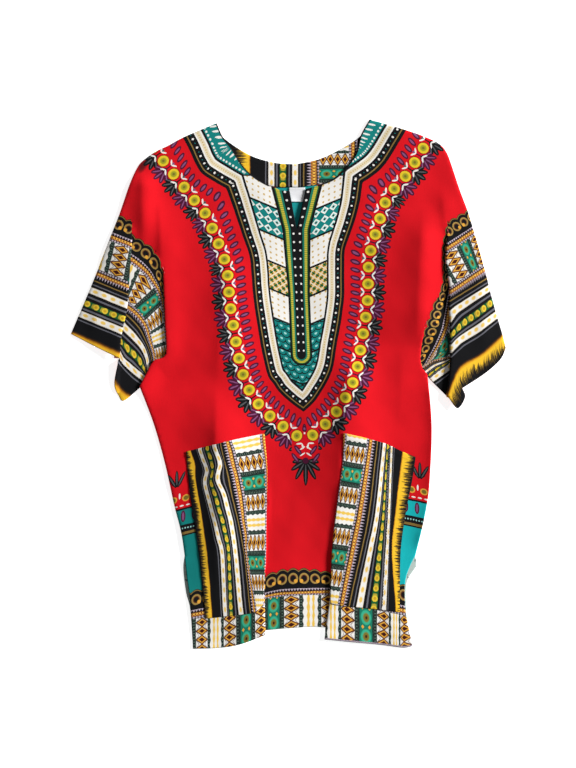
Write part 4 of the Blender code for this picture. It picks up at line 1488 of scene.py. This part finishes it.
def makeFullPrint(name):
    cloth = Print(name, "red")
    x, y = cloth.places()
    stray = wander(cloth, x, y)
    outs, runs = cloth.threads("yokeOut"), cloth.threads("yokeRun")
    e = outs[0].most(outs[1]) + stray * drift["yoke"]
    onLeft = outs[0].above(outs[1])
    a = runs[0] * onLeft + runs[1] * (1.0 - onLeft)
    paintRings(cloth, x, y, e, outs[2] + stray * drift["yoke"], runs[2])
    paintTail(cloth, x, y)
    gaps = cloth.threads("gaps")
    paintYoke(cloth, x, y, e, a, gaps[0])
    paintStrips(cloth, x, y, cloth.thread("strip") + stray)
    w, run, ring = cloth.threads("band")
    paintBorder(cloth, w + stray * drift["border"], run + stray, ring, softStart["front"])
    paintEdges(cloth, x, y, gaps[1])
    return finishCloth(cloth, x, y)


def makeBorderPrint(name):
    cloth = Print(name, "red")
    x, y = cloth.places()
    w, run, ring = cloth.threads("band")
    stray = wander(cloth, x, y)
    paintBorder(cloth, w + stray * drift["border"], run + stray, ring, softStart["cut"])
    return finishCloth(cloth, x, y, hemGap=cloth.thread("hemGap"))


reverse = {"x": 12.0, "y": 255.0, "squash": 0.6, "reach": 34.0, "border": -225.0, "grain": (0.2, 0.2, 3.0),
           "flecks": 0.62, "ground": ink(196, 92, 92), "teal": ink(24, 146, 146), "pale": ink(176, 190, 184),
           "dark": ink(96, 110, 112)}
tape = {"ground": ink(226, 226, 228), "rib": 1.1, "ribFrom": 0.6, "ribTint": 0.25,
        "ribInk": ink(186, 188, 194),
        "grain": (0.25, 0.25, 3.0), "flecks": 0.6, "fleckTint": 0.2, "fleckInk": ink(190, 190, 196),
        "roughness": 0.6}


# The paler inside of the printed cotton, teal where the print's middle shows through
def makeReverse(name):
    cloth = Print(name, reverse["ground"])
    x, y = cloth.places()
    fromMiddle = distance(x - reverse["x"], (y - reverse["y"]) * reverse["squash"])
    cloth.lay(fromMiddle.below(reverse["reach"]), reverse["teal"])
    cloth.lay(y.below(reverse["border"]), reverse["pale"])
    flecks = cloth.noise(x, y, *reverse["grain"]).above(reverse["flecks"])
    cloth.lay(flecks * y.below(reverse["border"]), reverse["dark"])
    return finishCloth(cloth, x, y)


def makeTape(name):
    cloth = Print(name, tape["ground"])
    x, y = cloth.places()
    rib = (y * (2 * math.pi / tape["rib"])).sine()
    cloth.lay(rib.above(tape["ribFrom"]) * tape["ribTint"], tape["ribInk"])
    flecks = cloth.noise(x, y, *tape["grain"]).above(tape["flecks"])
    cloth.lay(flecks * tape["fleckTint"], tape["fleckInk"])
    return finishCloth(cloth, x, y, roughness=tape["roughness"])


frontCotton = makeFullPrint("front cotton")
backCotton = makeFullPrint("back cotton")
pocketCotton = makeBorderPrint("pocket cotton")
facingCotton = makeBorderPrint("facing cotton")
reverseCotton = makeReverse("reverse cotton")
labelTape = makeTape("label tape")
print("inks mixed:", sum(len(m.node_tree.nodes) for m in bpy.data.materials if m.use_nodes), "nodes")

front = makeFront()
back = makeBack()
neckFacing = makeFacing()
pocketLeft = makePocket("pocket_left")
pocketRight = makePocket("pocket_right")
blankLabel = makeLabel()
print("cloth cut and laid")

pieces = [(front, "front", "front_cotton"), (back, "back", "back_cotton"),
          (neckFacing, "back_neck_facing", "facing_cotton"), (pocketLeft, "pocket_left", "pocket_cotton"),
          (pocketRight, "pocket_right", "pocket_cotton"), (blankLabel, "neck_label", "label_tape")]
for piece, node, slot in pieces:
    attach(piece, "root")
    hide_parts(node)

# Floor, light and camera
studio = {"floorReach": 3.0, "floorGlow": 0.75, "floorColour": (0.92, 0.92, 0.92, 1), "floorRoughness": 0.9,
          "cameraHeight": 2.609, "cameraX": -0.0004, "lens": 85, "sensor": 36}
white = (1, 1, 1, 1)


def makeFloor():
    paper = bpy.data.materials.new("floor paper")
    paper.use_nodes = True
    dial(paper.node_tree.nodes["Principled BSDF"],
         {"Base Color": studio["floorColour"], "Roughness": studio["floorRoughness"], "Emission Color": white,
          "Emission Strength": studio["floorGlow"]})
    bm = bmesh.new()
    bmesh.ops.create_grid(bm, x_segments=1, y_segments=1, size=studio["floorReach"])
    piece = meshPiece(bm, "floor", paper)


# One low soft lamp from the right, and an even white room
lights = {"azimuth": 20, "elevation": 22, "angle": 15, "strength": 7.6, "room": 0.20}


def makeLights():
    lamp = bpy.data.lights.new("key", "SUN")
    lamp.angle = math.radians(lights["angle"])
    lamp.energy = lights["strength"]
    azimuth, elevation = math.radians(lights["azimuth"]), math.radians(lights["elevation"])
    towards = Vector((math.cos(azimuth) * math.cos(elevation), math.sin(azimuth) * math.cos(elevation),
                      math.sin(elevation)))
    key = addPiece("key", lamp)
    key.location = towards * 3
    key.rotation_euler = towards.to_track_quat("Z", "Y").to_euler()
    world = bpy.data.worlds.new("studio")
    bpy.context.scene.world = world
    world.use_nodes = True
    dial(world.node_tree.nodes["Background"], {"Color": white, "Strength": lights["room"]})


def makeCamera():
    data = bpy.data.cameras.new("camera")
    data.lens = studio["lens"]
    data.sensor_width = studio["sensor"]
    camera = addPiece("camera", data)
    camera.location = (studio["cameraX"], 0, studio["cameraHeight"])
    bpy.context.scene.camera = camera


makeFloor()
makeLights()
makeCamera()
bpy.context.scene.view_settings.view_transform = "Standard"
print("stage, lights and camera set")
